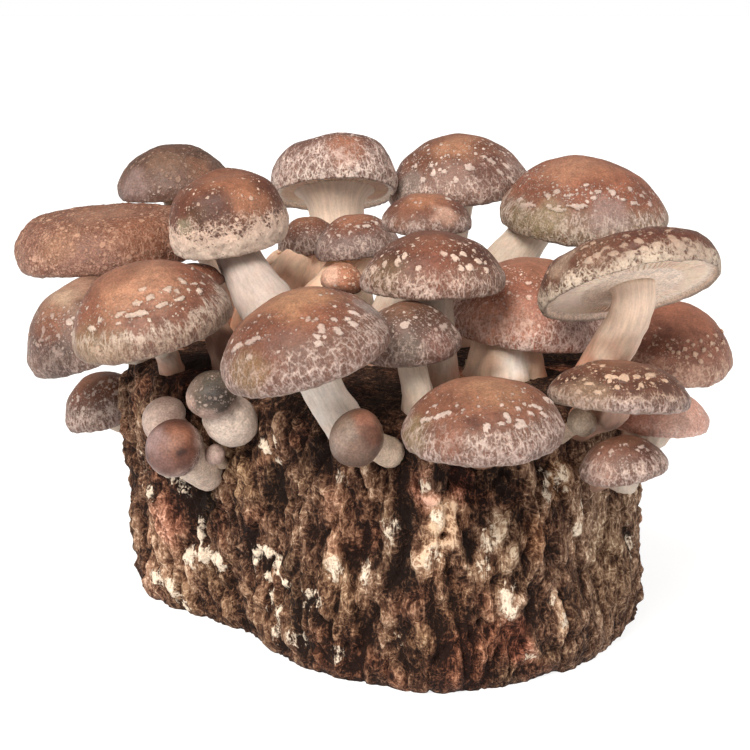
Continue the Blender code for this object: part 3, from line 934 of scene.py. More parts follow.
# Depths of the bark's forms, and their sizes across and how much they are drawn out upwards
barkForm = dict(ridge=1.9, lump=1.15, fine=0.62, crack=1.8, pit=1.2, block=0.8, top=0.9, topFine=0.35)
barkSize = dict(ridge=(8.5, 0.30), block=(9.0, 0.36), lump=(4.2, 0.6), fine=(1.7, 0.7), pit=(5.0, 1),
                top=(7, 1), thread=(2.6, 0.55))
smoothBark = dict(turn=-42, wide=(22, 6), ridge=0.4, calm=0.55, crack=0.3)  # a strip with less relief
barkTints = (((0.96, 1.02, 0.92), 0.8, 0.1, 15, 71), ((1.15, 0.88, 0.80), 0.7, 0.15, 13, 81))
# a tint, its strength, where its noise starts, the noise's size and seed
threadTint = (240, 222, 200)
barkToneAndShade = dict(even=0.27, relief=0.20, lump=0.10, top=-0.32, smooth=0.16, foot=-0.14)  # how much lighter or darker it is: relief and lump make ridges and lumps lighter and cracks darker, and top makes the log's top darker under the caps, all painted shade; even and smooth are its own tone, and foot makes it darker towards the bottom


def readLog():
    points = apart(trianglesOf("log"))
    far = np.hypot(points[:, 0], points[:, 1])
    ends = points[far < 1]
    points, far = points[far > 1], far[far > 1]
    foot = points[:, 2] < 0.05
    count = int(foot.sum())
    start = turnOf(points)[foot].min()
    column = columnOf(points, start, count)
    rings = []
    for k in range(count):
        mine = column == k
        order = np.argsort(np.arctan2(far[mine], points[mine, 2] - barkGrid["middle"]))
        rings.append(np.stack([far[mine][order], points[mine, 2][order]], axis=1))
    return np.array(rings).transpose(1, 0, 2), start, ends[:, 2].max()


def logGrid():
    rings, start, crown = readLog()
    even = np.arange(barkGrid["columns"]) / barkGrid["columns"] * full
    turns = even + barkGrid["crowd"] * np.sin(even) + math.pi / 2  # from the back
    form = throughTop(np.stack([aroundRing(rings[:, :, k], start, turns) for k in (0, 1)], axis=-1), crown)
    knots = knotsOf(form, 2)
    stops = [knots[2] + 3, knots[6], knots[9], knots[-3], knots[-1]]
    spots = spread([*zip(stops, stops[1:], barkGrid["counts"]), (knots[-1], knots[-1] + 1, 1)])
    return turnedGrid(form, knots, np.minimum(spots, knots[-1] - 1e-6), turns)


def sizedFor(kind, points):
    size, upright = barkSize[kind]
    return points * (1, 1, upright) / size


def barkRelief(points, side):  # the relief, its lumps and its fine grain, and the smoother strip
    crest = 1 - 2.1 * abs(noise(warped(sizedFor("ridge", points), 0.5, 0.5, 3), 9))
    gap, own = cells(warped(sizedFor("block", points), 0.45, 0.8, 21), 4)[1:]
    crack = ramp(0.20, 0.0, gap)
    lump = layers(sizedFor("lump", points), 2, 31)
    fine = layers(sizedFor("fine", points), 2, 41)
    hole, _, rare = cells(warped(sizedFor("pit", points), 0.3, 0.8, 51), 6)
    pit = ramp(0.36, 0.12, hole) * (rare > 0.45)
    away = abs((np.degrees(turnOf(points)) - smoothBark["turn"] + 180) % 360 - 180)
    smooth = ramp(*smoothBark["wide"], away)
    calm = 1 - smoothBark["calm"] * smooth
    relief = barkForm["ridge"] * (crest - 0.45) * (1 - smoothBark["ridge"] * smooth)
    relief = relief + (barkForm["lump"] * lump + barkForm["fine"] * fine - barkForm["pit"] * pit) * calm
    relief = relief - barkForm["crack"] * crack * (1 - smoothBark["crack"] * smooth)
    relief = relief + barkForm["block"] * (own - 0.5)
    relief = relief * side * (0.35 + 0.65 * ramp(0.0, 6.0, points[:, 2]))
    top = barkForm["top"] * layers(sizedFor("top", points), 3, 61) + barkForm["topFine"] * fine
    return relief + top * (1 - side), lump, fine, smooth


def barkCover(points, facing):  # where the fungus lies on the bark as pale threads
    cover = np.full(len(points), -1.0)
    thread = 1 - 2.2 * abs(noise(warped(sizedFor("thread", points), 0.5, 0.7, 5), 15))
    for k, (across, down, wide, tall, strength) in enumerate(barkThreads):
        nearest = nearestTo(across, down, points, facing)
        off, out = points - points[nearest], facing[nearest]
        sideways = unit(np.cross(up, out))
        away = np.sqrt((off @ sideways / wide) ** 2 + (off[:, 2] / tall) ** 2 + ((off @ out) / 12) ** 2)
        mask = ramp(1.5, 0.2, away + 0.3 * noise(points / 4, 100 + k)) * (0.55 + 0.45 * strength)
        cover = np.maximum(cover, 1.35 * mask + 0.35 * (thread - 0.4) * mask - 0.25)
    return cover


def dressLog():
    grid = logGrid()
    rows, columns = grid.shape[:2]
    under = [grid[-1] * (inward, inward, 0) for inward in barkGrid["under"]]
    points = grid.reshape(-1, 3)
    facing = gridNormals(grid).reshape(-1, 3)
    side = ramp(0.75, 0.25, facing[:, 2])  # 1 on the side, 0 on the top
    relief, lump, fine, smooth = barkRelief(points, side)
    # the bark's own tone with painted shade: cracks darker, ridges and lumps lighter, the top darker under
    # the caps
    toneAndShade = (barkToneAndShade["even"] + barkToneAndShade["relief"] * np.clip(relief, -2.6, 1.6) * side
            + barkToneAndShade["lump"] * lump + barkToneAndShade["top"] * (1 - side) + barkToneAndShade["smooth"] * smooth * side
            + barkToneAndShade["foot"] * ramp(12, 2, points[:, 2]))
    skin = np.ones((len(points), 3))
    for shade, strength, start, size, seed in barkTints:
        skin = mixed(skin, shade, strength * ramp(start, 0.6, noise(points / size, seed)))
    skin = mixed(skin, (0.98, 1.02, 1.04), smooth)
    for k, (across, down, size, shade, rise) in enumerate(barkStains):
        middle = points[nearestTo(across, down, points, facing)]
        near = blotMask(points, middle, size, stainSeed + k, (1, 1, 0.8))
        skin = mixed(skin, shade, near)
        toneAndShade = toneAndShade + rise * near
    cover = barkCover(points, facing) + 0.12 * fine - 0.35 * ramp(0.5, -1.8, relief)
    relief = relief + 0.35 * ramp(0.5, 1.0, cover)
    skin = skin / 2  # so that none is over 1
    scale = tint(*threadTint) * np.ones((len(points), 1))
    paints = dict(skin=skin, scale=scale, cover=cover, toneAndShade=toneAndShade, weave=points * (1, 1, 0.22))
    paintUnder(paints, rows, columns, len(under))
    grid = (points + facing * relief[:, None]).reshape(grid.shape)
    grid[..., 2] = np.maximum(grid[..., 2], 0.0)
    piece = gridMesh("log_bark", np.concatenate([grid, under]), paints, (barkSkin,))
    standFor(piece, "log")


# Patches on the bark, at pixels of the photograph: across, down, size in millimetres, tint, lift
barkStains = (
    # the dark patches at 206, 356 and 230, 385 and 185, 372 lie on the log's top between the caps at the
    # left: painted shade
    (160, 555, 24, (1.04, 1.0, 0.97), 0.24), (206, 356, 12, (0.7, 0.42, 0.28), -0.8),
    (230, 385, 8, (0.8, 0.6, 0.5), -0.6), (445, 366, 8, (1.9, 1.1, 1.0), 0.9),
    (462, 372, 6, (1.9, 1.35, 1.2), 1.1), (562, 368, 7, (1.8, 1.1, 0.9), 0.9),
    (185, 372, 8, (1.1, 0.8, 0.7), -0.2), (166, 522, 9, (1.16, 0.86, 0.84), 0.25),
    (150, 590, 11, (1.1, 1.0, 1.0), 0.22), (205, 500, 7, (0.8, 0.9, 0.75), -0.3),
    (147, 532, 5, (1.2, 1.1, 1.05), 0.45), (245, 530, 5, (0.9, 0.8, 0.78), -0.45),
    (236, 470, 12, (0.95, 0.96, 0.85), 0.1), (270, 565, 3, (0.7, 0.7, 0.6), -0.6),
    (275, 480, 7, (0.8, 0.85, 0.8), -0.3), (300, 600, 9, (0.8, 0.85, 0.8), -0.3),
    (325, 455, 9, (0.8, 0.85, 0.8), -0.25), (378, 486, 5, (1.05, 1.02, 0.98), 0.4),
    (400, 520, 5, (0.8, 0.88, 0.9), -0.25), (392, 540, 5, (0.95, 1.02, 1.1), 0.3),
    (395, 565, 8, (0.85, 0.9, 0.9), -0.2), (345, 510, 12, (1.1, 1.0, 0.95), 0.12),
    (336, 570, 5, (1.05, 1.02, 0.98), 0.45), (366, 574, 4, (0.98, 1.02, 1.08), 0.45),
    (330, 500, 4, (1.12, 0.98, 0.95), 0.2), (442, 512, 5, (1.08, 1.04, 0.98), 0.6),
    (440, 535, 5, (1.08, 1.03, 0.95), 0.55), (438, 560, 6, (1.06, 1.04, 1.0), 0.65),
    (458, 520, 5, (1.05, 0.98, 0.9), 0.3), (455, 600, 6, (1.05, 1.0, 0.9), 0.2),
    (470, 550, 4, (0.8, 0.85, 0.8), -0.35), (494, 520, 4, (0.98, 1.02, 1.06), 0.55),
    (488, 545, 5, (1.0, 1.03, 1.05), 0.65), (480, 570, 4, (1.0, 1.02, 1.0), 0.55),
    (510, 540, 7, (0.95, 1.02, 1.02), 0.2), (520, 560, 7, (0.95, 1.0, 1.0), 0.15),
    (508, 605, 6, (1.0, 1.03, 1.08), 0.6), (424, 490, 6, (1.25, 0.98, 1.0), 0.4),
    (462, 482, 6, (1.3, 0.9, 0.9), 0.0), (440, 480, 5, (0.7, 0.7, 0.7), -0.4),
    (560, 480, 6, (1.12, 1.05, 0.9), 0.35), (545, 535, 7, (1.15, 1.0, 0.85), 0.25),
    (579, 520, 4, (1.02, 1.02, 1.02), 0.65), (575, 545, 4, (1.05, 1.02, 0.98), 0.4),
    (608, 520, 14, (0.98, 1.04, 1.04), 0.2), (610, 580, 14, (0.93, 0.99, 0.96), 0.0),
    (630, 540, 5, (1.1, 1.02, 1.0), 0.5), (556, 600, 3, (1.1, 1.04, 1.0), 0.6),
    (564, 620, 4, (1.1, 1.04, 0.95), 0.5), (575, 600, 7, (0.85, 0.85, 0.8), -0.25),
    (518, 642, 7, (1.2, 0.8, 0.78), 0.2), (531, 656, 3, (1.4, 1.1, 1.1), 0.6),
    (495, 640, 6, (1.2, 0.9, 0.85), 0.1), (460, 670, 14, (1.15, 0.88, 0.8), -0.15),
    (340, 655, 14, (1.1, 0.92, 0.85), -0.15), (420, 650, 8, (1.0, 0.98, 0.88), 0.05),
    (340, 600, 12, (1.0, 1.0, 0.94), 0.08), (150, 455, 8, (1.1, 0.9, 0.85), -0.15),
    (500, 480, 6, (0.85, 0.9, 0.85), -0.2), (290, 560, 5, (0.8, 0.84, 0.8), -0.3),
    (620, 480, 9, (1.0, 0.98, 0.9), 0.15), (220, 610, 12, (1.0, 0.98, 0.92), 0.1),
    (260, 610, 12, (1.0, 0.98, 0.93), 0.12), (180, 600, 9, (1.0, 1.0, 0.92), 0.15),
)
# Pale threads of the fungus on the bark: across, down, width, height, strength
barkThreads = (
    (190, 556, 6, 4, 1.0), (206, 553, 7, 5, 1.0), (220, 560, 4, 5, 1.0), (200, 532, 4, 5, 0.8),
    (196, 522, 2, 3, 0.8), (252, 556, 4, 6, 1.0), (268, 552, 7, 2.5, 1.0), (280, 562, 3, 5, 0.9),
    (285, 583, 3, 2.5, 1.0), (266, 578, 3, 2.5, 0.9), (270, 598, 2.5, 7, 0.8), (278, 614, 3, 6, 0.6),
    (276, 638, 4, 5, 0.6), (158, 580, 5, 5, 0.9), (172, 590, 4, 6, 0.7), (184, 604, 4, 6, 0.6),
    (262, 440, 1.6, 3.0, 1.0), (269, 448, 2.5, 2.2, 1.0), (277, 441, 1.8, 2.0, 0.9),
    (279, 461, 1.6, 2.2, 0.9), (142, 475, 3, 8, 0.7), (150, 492, 3, 6, 0.6), (172, 480, 7, 4, 0.9),
    (178, 494, 5, 5, 0.7), (300, 640, 6, 4, 0.5), (312, 600, 6, 5, 0.4), (335, 570, 4, 5, 0.7),
    (366, 572, 3, 5, 0.7), (390, 530, 4, 5, 0.45), (422, 486, 3, 3, 0.5), (436, 520, 3, 5, 0.6),
    (438, 558, 4, 5, 0.75), (490, 540, 3.5, 7, 0.75), (484, 562, 3, 6, 0.7), (508, 604, 4, 8, 0.75),
    (512, 585, 3, 4, 0.6), (548, 474, 3, 5, 0.6), (562, 480, 3, 6, 0.6), (545, 490, 2, 5, 0.5),
    (580, 512, 2.5, 5, 0.8), (576, 530, 2.5, 5, 0.7), (555, 600, 2, 2.5, 0.8), (564, 620, 3, 3.5, 0.6),
    (532, 657, 3, 2, 0.9), (340, 480, 3, 4, 0.4), (336, 655, 3, 4, 0.4), (395, 640, 4, 4, 0.3),
    (632, 545, 2, 8, 0.6),
)

mushrooms = {
    "far_left": dict(
        foot=(-56, 22, 82), stem=(8, 5.5), brown=(152, 98, 76), dark=(106, 64, 50), gap=(140, 92, 72),
        pale=(212, 164, 138), low=(208, 164, 142), net=(0.05, 0.8), cover=0.68, flecks=(0.5, 0.05, 1.2),
        scales=(0.1, 0.1, 1.1), glow=0.3, rough=1.8,
        stains=((100, 214, 12, (190, 142, 116), 0.5), (32, 240, 9, (140, 96, 82), 0.6),
                (90, 268, 14, (162, 118, 104), 0.6), (140, 236, 12, (162, 100, 70), 0.5),
                (60, 245, 8, (176, 130, 100), 0.5))),
    "back_far_left": dict(
        foot=(-45, 46, 82), stem=(8, 5), brown=(116, 82, 66), dark=(82, 55, 43), tan=(126, 88, 68),
        gap=(124, 94, 82), pale=(170, 138, 120), net=(0.45, 1.1), cover=0.35, flecks=(0.5, 0.25, 1.0),
        scales=(0.2, 0.4, 0.9), glow=0.2, rough=1.2,
        stains=((130, 188, 9, (168, 140, 134), 0.8), (180, 180, 8, (104, 78, 58), 0.8),
                (200, 168, 6, (150, 104, 80), 0.7), (165, 160, 8, (146, 112, 92), 0.6))),
    "peeking_left": dict(
        # the dark stem foot is painted shade deep among the stems
        foot=(-46.5, -31.5, 82), stem=(6, 3.6), stemTop=(220, 180, 156), stemFoot=(96, 60, 44),
        footFrom=0.65, net=(0.8, 1.2), cover=0.4, flecks=(0.1, 0.3, 0.9), scales=(0, 0, 1)),
    "upper_left": dict(
        foot=(-26, -32, 82), stem=(13.5, 6.6), stemTop=(226, 208, 198), stemFoot=(226, 200, 186),
        # its pale and low colours are brighter than its own: painted light on the margin, which stands in
        # shade
        brown=(130, 78, 58), dark=(92, 52, 38), tan=(166, 112, 84), pale=(246, 214, 194),
        low=(250, 226, 208), net=(0.52, 0.98), cover=1.55, netLong=0.95, flecks=(0.12, 0.2, 0.75),
        scales=(0.1, 0.3, 0.75),
        stains=((212, 205, 7, (98, 56, 42), 0.9), (196, 215, 5, (96, 62, 40), 0.8),
                (250, 200, 9, (182, 124, 94), 0.9), (225, 178, 9, (172, 116, 88), 0.7),
                (184, 228, 4, (170, 160, 130), 0.6))),
    "front_far_left": dict(
        foot=(-66, -24, 79), stem=(3.8, 3.2), brown=(168, 112, 88), dark=(112, 68, 52),
        pale=(226, 204, 188), low=(190, 162, 142), net=(0.70, 0.86), cover=0.95, netLong=3.2,
        flecks=(0.2, 0.5, 0.74), scales=(0.25, 0.56, 0.72),
        patches=((168, 289.5, 1.3, 1.5, 0), (151, 296.5, 1.3, 1.1, 20), (138, 302.5, 1.5, 1.1, 10),
                 (142, 290, 1.5, 0.6, 30), (184, 283, 1.1, 0.8, 0), (195, 284, 0.9, 0.8, 0),
                 (210, 277, 1.3, 1.0, -30), (192, 270, 0.7, 0.6, 0), (138, 314, 4.2, 1.0, 12),
                 (120, 315, 1.8, 0.8, 30), (101, 321, 1.3, 0.9, 40), (92, 327.5, 2.3, 0.8, 0),
                 (73, 327, 1.1, 1.3, 0), (163, 306, 2.0, 0.7, 15), (180, 299, 2.0, 0.8, 20),
                 (200, 292, 1.4, 1.0, 30)),
        stains=((85, 345, 9, (160, 132, 98), 0.7), (110, 348, 7, (168, 138, 108), 0.6),
                (195, 275, 9, (134, 80, 60), 0.6), (120, 296, 10, (204, 150, 118), 0.6),
                (150, 282, 12, (206, 154, 124), 0.5), (85, 312, 8, (150, 94, 70), 0.6))),
    "low_left": dict(
        foot=(-70, 0, 78), stem=(6, 4.5), brown=(160, 120, 100), dark=(90, 58, 46), tan=(196, 156, 134),
        net=(0.5, 0.95), cover=0.75, flecks=(0.4, 0.4, 0.9), scales=(0.4, 0.45, 0.8), glow=0.7,
        patches=((42, 340, 1.2, 0.8, 20), (38, 345, 0.9, 0.9, 0), (64, 345, 1.6, 0.9, 60),
                 (58, 352, 1.8, 0.8, -30), (30, 335, 1.0, 0.5, 0), (48, 338, 1.2, 0.4, 30)),
        stains=((45, 345, 11, (104, 72, 62), 0.9), (60, 366, 10, (92, 72, 64), 0.7),
                (60, 300, 8, (206, 176, 150), 0.7), (50, 318, 8, (150, 96, 72), 0.7))),
    "bottom_left": dict(
        foot=(-74, 26, 50), stem=(5.5, 4), net=(0.42, 0.85), cover=0.9, netLong=2.6,
        flecks=(0.5, 0.3, 0.9), scales=(0.6, 0.3, 0.9)),
    "front_left": dict(
        # its stem colours are brighter than its own: painted light on the stem, which stands in the cap's
        # shade
        foot=(-6, -83, 71), stem=(6.6, 5.8), stemTop=(258, 244, 232), stemFoot=(236, 204, 184),
        brown=(162, 106, 82), dark=(104, 62, 48), tan=(196, 144, 112), net=(0.48, 0.86), cover=0.78,
        flecks=(0.14, 0.3, 0.7), scales=(0.15, 0.34, 0.74), glow=0.6,
        patches=((255, 340, 3.4, 0.9, 32), (238, 347.5, 2.8, 1.1, 32), (265, 349, 2.4, 1.0, 40),
                 (250, 356.5, 1.4, 1.0, 30), (259.5, 316.5, 0.7, 0.6, 0), (270, 317, 0.7, 0.6, 0),
                 (291, 341, 1.1, 1.8, 0), (322, 329, 1.0, 1.7, 10), (337, 332, 1.6, 1.2, -35),
                 (317, 337, 1.1, 0.8, 0), (333, 319.5, 1.0, 0.8, -20), (316, 319, 0.7, 0.6, 0),
                 (353, 314, 1.9, 0.6, -30), (348, 319.5, 1.1, 0.6, -30), (354, 324.5, 1.5, 1.0, -40),
                 (335, 306, 0.8, 0.6, 0), (318, 344, 1.0, 1.0, 0)),
        stains=((264, 365, 6, (132, 76, 54), 0.9), (250, 370, 8, (156, 122, 84), 0.7),
                (367, 308, 5, (172, 154, 148), 0.8), (300, 300, 12, (196, 146, 110), 0.6),
                (262, 330, 9, (124, 74, 56), 0.6), (316, 316, 7, (150, 90, 70), 0.5))),
    "front_right": dict(
        foot=(30, -89, 72), stem=(4.6, 4.6), brown=(164, 110, 86), dark=(112, 68, 52), tan=(194, 144, 114),
        net=(0.56, 0.88), cover=0.84, flecks=(0.14, 0.3, 0.7), scales=(0.15, 0.4, 0.74),
        patches=((474, 417, 2.2, 1.2, 10), (442, 415, 3.0, 0.9, 30), (425, 420, 2.4, 0.9, 20),
                 (457, 417.5, 0.7, 1.7, -25), (507, 417.5, 0.8, 1.4, 10), (520, 424, 1.6, 1.4, -20),
                 (517.5, 410, 0.9, 0.9, 0), (537, 408, 2.0, 0.7, -35), (548.5, 402, 2.0, 0.6, -45),
                 (530, 414, 1.4, 0.7, -40), (501, 424, 1.4, 0.8, 0), (545, 415, 1.7, 0.8, -45),
                 (463.5, 410.5, 0.6, 0.6, 0), (457, 406.5, 0.6, 0.6, 0), (501.5, 406.5, 0.6, 0.6, 0),
                 (486, 427, 0.8, 1.4, 0)),
        stains=((415, 434, 7, (154, 130, 96), 0.8), (450, 442, 6, (152, 98, 76), 0.9),
                (474, 421, 3, (104, 60, 44), 0.9), (495, 392, 10, (186, 138, 106), 0.6),
                (462, 402, 6, (140, 90, 68), 0.5))),
    "back_left": dict(
        # its stem colours are brighter than its own: painted light on the stem, which stands in shade under
        # the cap
        foot=(-12, 54, 82), stem=(10, 9), flare=(6.5, 3.2), stemTop=(270, 244, 222),
        stemFoot=(226, 196, 170), brown=(112, 71, 55), gap=(152, 116, 104), pale=(240, 214, 203),
        low=(255, 234, 222), net=(0.46, 0.82), cover=0.9, flecks=(0.7, 0.15, 0.6), scales=(0.7, 0.25, 0.6),
        glow=0.1,
        stains=((345, 150, 9, (186, 124, 96), 0.7), (285, 180, 7, (160, 112, 96), 0.6))),
    "back_middle": dict(
        foot=(18, 60, 82), stem=(8, 5), brown=(146, 96, 74), tan=(166, 116, 88), gap=(156, 122, 110),
        pale=(238, 214, 202), low=(232, 206, 194), net=(0.5, 0.9), cover=0.74, flecks=(0.3, 0.3, 0.7),
        scales=(0.2, 0.36, 0.7),
        patches=((470, 168, 2.0, 1.2, -20), (444, 172, 1.0, 1.2, 0), (434, 174, 1.0, 1.4, 0),
                 (432, 166, 0.9, 0.9, 0), (416, 166, 0.9, 1.2, 20), (485, 157, 1.0, 0.8, -40),
                 (492, 162, 1.8, 0.8, -40), (499, 172, 1.8, 0.7, -45), (506, 166, 1.6, 0.6, -45),
                 (512, 180, 2.0, 0.7, -50), (455, 180, 0.8, 1.2, 0), (423, 180, 0.9, 1.2, 0)),
        stains=((455, 145, 10, (198, 144, 112), 0.7), (410, 185, 7, (160, 146, 138), 0.7),
                (490, 168, 9, (110, 68, 54), 0.8))),
    "back_right": dict(
        foot=(24, 12, 82), stem=(12, 7), meets=-16, brown=(168, 108, 84), dark=(124, 74, 56),
        gap=(142, 120, 98), low=(216, 196, 178), net=(0.66, 0.86), netLong=2.6, flecks=(0.4, 0.45, 0.72),
        scales=(0.3, 0.5, 0.7),
        patches=((528, 206, 3.4, 0.9, 10), (520, 200, 1.4, 0.8, 20), (556, 210, 2.8, 0.9, 0),
                 (578, 207, 3.6, 0.9, 0), (598, 193, 1.4, 1.0, 0), (613, 193, 1.3, 1.3, 0),
                 (630, 189, 1.1, 1.0, -20), (641, 197, 1.2, 0.9, -30), (585, 186, 1.3, 0.8, 10),
                 (570, 196, 1.4, 0.6, 20), (548, 196, 1.4, 0.6, 20), (622, 200, 1.0, 0.8, 0),
                 (633, 203, 1.0, 0.8, 0), (650, 205, 0.9, 1.0, 0), (605, 205, 1.2, 0.8, 0)),
        stains=((545, 218, 9, (166, 146, 112), 0.8), (520, 215, 6, (140, 118, 84), 0.8),
                (565, 168, 12, (192, 140, 112), 0.6), (540, 190, 8, (134, 84, 64), 0.6),
                (640, 188, 7, (130, 80, 62), 0.7), (610, 218, 9, (176, 152, 146), 0.6))),
    "middle_top": dict(
        foot=(-1, -22, 82), stem=(8.5, 4.6), brown=(158, 104, 82), tan=(176, 124, 94), net=(0.62, 0.98),
        cover=0.85, flecks=(0.1, 0.3, 0.8), scales=(0.1, 0.3, 0.7), glow=0.7,
        stains=((445, 212, 5, (222, 178, 156), 0.8), (400, 222, 4, (144, 96, 74), 0.7),
                (420, 200, 6, (192, 132, 100), 0.6))),
    "middle": dict(
        foot=(16, -60, 82), stem=(7, 5.5), brown=(116, 70, 52), dark=(84, 48, 36), tan=(136, 90, 70),
        gap=(146, 108, 92), pale=(240, 212, 194), low=(236, 208, 194), net=(0.60, 0.95), cover=0.85,
        flecks=(0.2, 0.3, 0.8), scales=(0.12, 0.34, 0.8),
        patches=((398, 262, 1.0, 2.0, 10), (405, 258, 0.9, 1.6, 0), (385, 264, 0.9, 1.4, 0),
                 (455, 258, 1.3, 1.1, -30), (464, 254, 1.3, 1.0, -30), (480, 262, 1.4, 1.1, -40),
                 (470, 268, 1.2, 1.2, -20), (462, 268, 0.9, 1.2, 0), (473, 250, 0.8, 0.7, 0),
                 (460, 244, 0.7, 0.6, 0), (487, 270, 1.2, 0.8, -50), (418, 268, 0.8, 1.0, 0)),
        stains=((385, 275, 7, (140, 112, 84), 0.7), (430, 240, 9, (160, 102, 78), 0.6),
                (440, 268, 9, (150, 90, 70), 0.6))),
    "small_left": dict(
        foot=(-37, 17, 82), stem=(12.5, 6.1), meets=-3, swell=4.2, folds=2.2, foldTurn=0.9,
        # its stem colours and the bright stem stain at 300, 270 are brighter than its own: painted light
        # where the stem stands in shade; the dark stem stain at 268, 262 is painted shade in a fold
        stemTop=(300, 252, 218), stemFoot=(290, 222, 184), net=(0.42, 0.8), cover=0.85,
        flecks=(0.4, 0.2, 0.6), scales=(0.3, 0.3, 0.6),
        stemStains=((268, 262, 2.5, (150, 90, 64), 0.8), (285, 275, 4, (230, 160, 124), 0.6),
                    (300, 270, 4, (300, 262, 226), 0.7), (310, 285, 4, (210, 140, 104), 0.6))),
    "middle_left": dict(
        # its stem colours are brighter than its own: painted light where the stem stands in shade
        foot=(-24, 0, 82), stem=(7.8, 5.0), swell=2.6, stemTop=(290, 250, 218), stemFoot=(280, 222, 186),
        gap=(142, 118, 112), net=(0.45, 0.85), flecks=(0.3, 0.25, 0.7), scales=(0.5, 0.35, 0.6),
        patches=((366, 226, 1.3, 0.8, 0), (350, 232, 0.7, 0.6, 0), (338, 236, 0.7, 0.6, 0)),
        stains=((352, 218, 7, (176, 120, 94), 0.6), (385, 236, 5, (110, 74, 60), 0.7))),
    "middle_right": dict(
        foot=(38, -42, 81), stem=(12.5, 6.8), meets=-8, swell=2.2, folds=3.2, foldTurn=1.2,
        # its cap colours and the stains at 482, 324 and 514, 322 are brighter than its own: painted light on
        # the part in the middle cap's shade; the stem colours and the bright stem stain at 512, 362 are
        # painted light on the stem in shade
        stemTop=(290, 256, 226), stemFoot=(280, 232, 200), brown=(182, 118, 94), dark=(132, 80, 62),
        gap=(180, 122, 102), pale=(264, 228, 212), low=(264, 234, 222), net=(0.54, 0.90), cover=0.88,
        flecks=(0.35, 0.3, 0.8), scales=(0.15, 0.4, 0.8),
        stains=((520, 300, 12, (170, 106, 82), 0.7), (482, 324, 10, (272, 196, 164), 0.7),
                (514, 322, 9, (236, 168, 140), 0.6), (575, 325, 9, (150, 118, 112), 0.7)),
        stemStains=((474, 364, 6, (240, 226, 184), 0.8), (512, 362, 7, (300, 290, 280), 0.9),
                    (550, 366, 7, (206, 134, 98), 0.9))),
    "under_middle": dict(
        foot=(11, -84, 79), stem=(4.6, 4.2), stemTop=(244, 226, 208), stemFoot=(246, 222, 202),
        brown=(118, 90, 78), dark=(74, 54, 46), net=(0.35, 0.85), cover=0.72, flecks=(0.4, 0.2, 0.8),
        scales=(0.5, 0.3, 0.8),
        stains=((430, 315, 8, (96, 66, 52), 0.8), (440, 345, 6, (150, 100, 88), 0.6),
                (410, 350, 6, (110, 98, 88), 0.6))),
    "upper_right": dict(
        # its stem colours are brighter than its own: painted light on the stem in the cap's shade
        foot=(61, -60, 78), stem=(7, 6), stemTop=(276, 246, 222), stemFoot=(248, 172, 138), footFrom=0.62,
        brown=(124, 78, 60), dark=(84, 48, 37), tan=(136, 90, 70), gap=(124, 94, 76), pale=(206, 174, 152),
        low=(226, 206, 186), net=(0.74, 1.0), cover=1.1, netLong=1.3, flecks=(0.35, 0.2, 0.8),
        scales=(0.2, 0.2, 0.75), rough=1.0, frill=0.25, clear=0.3,
        patches=((639, 241, 1.3, 1.2, 20), (645, 249, 1.6, 0.9, 10), (658, 246, 1.3, 1.4, -10),
                 (672, 240, 1.3, 1.4, 0), (680, 246, 1.4, 1.7, 10), (692, 252, 1.3, 1.5, 20),
                 (686, 240, 1.2, 0.9, 0), (699, 246, 1.3, 1.2, 20), (708, 261, 1.1, 1.6, 0),
                 (662, 255, 1.6, 0.9, 10), (680, 260, 1.6, 0.8, 0), (648, 260, 1.5, 0.8, 10),
                 (632, 254, 1.5, 0.9, 15), (623, 246, 1.2, 0.9, 20), (616, 254, 1.6, 0.9, 20),
                 (605, 248, 1.3, 0.8, 20), (598, 255, 1.5, 0.8, 30), (588, 261, 1.4, 0.9, 30),
                 (594, 244, 1.1, 0.7, 30), (702, 256, 1.1, 0.9, 0), (668, 232, 1.0, 0.7, 0),
                 (650, 234, 1.1, 0.7, 0), (626, 237, 1.0, 0.6, 10)),
        stains=((600, 250, 9, (140, 100, 78), 0.6), (690, 246, 10, (118, 70, 54), 0.7),
                (640, 238, 10, (112, 66, 52), 0.6), (560, 262, 6, (206, 176, 152), 0.6))),
    "far_right": dict(
        foot=(70, -24, 77), stem=(6, 4.6), brown=(174, 112, 88), dark=(124, 74, 56), tan=(172, 112, 88),
        gap=(170, 122, 104), pale=(222, 184, 160), low=(232, 196, 176), net=(0.62, 0.92), cover=0.85,
        flecks=(0.3, 0.5, 0.8), scales=(0, 0, 1),
        patches=((722, 331, 0.8, 0.7, 0), (715, 336, 0.8, 0.8, 0), (723, 341, 0.7, 0.9, 0),
                 (707, 336, 0.7, 0.6, 0), (711, 343, 0.9, 0.8, 0), (700, 341, 0.7, 0.7, 0),
                 (703, 349, 0.9, 0.8, 0), (693, 345, 0.8, 0.6, 0), (717, 349, 0.8, 0.8, 0),
                 (695, 354, 0.8, 0.8, 0), (685, 349, 0.7, 0.6, 0), (678, 353, 0.7, 0.7, 0),
                 (709, 355, 0.8, 0.8, 0), (670, 349, 0.6, 0.6, 0), (687, 357, 0.8, 0.7, 0),
                 (700, 361, 0.8, 0.8, 0)),
        stains=((648, 372, 7, (236, 182, 158), 0.7), (690, 382, 6, (216, 170, 150), 0.6))),
    "low_right": dict(
        foot=(60.5, -69.5, 75), stem=(4, 3.6), stemTop=(220, 180, 160), brown=(120, 77, 60),
        dark=(78, 47, 37), pale=(222, 188, 162), net=(0.74, 0.98), cover=0.9, flecks=(0.3, 0.3, 0.8),
        scales=(0.3, 0.35, 0.8),
        patches=((610, 378, 2.0, 1.0, 0), (624, 378, 1.6, 1.5, 10), (636, 377, 1.2, 1.2, 0),
                 (650, 376, 1.8, 1.0, 0), (588, 384, 1.6, 0.9, 10), (598, 392, 1.4, 0.8, 0),
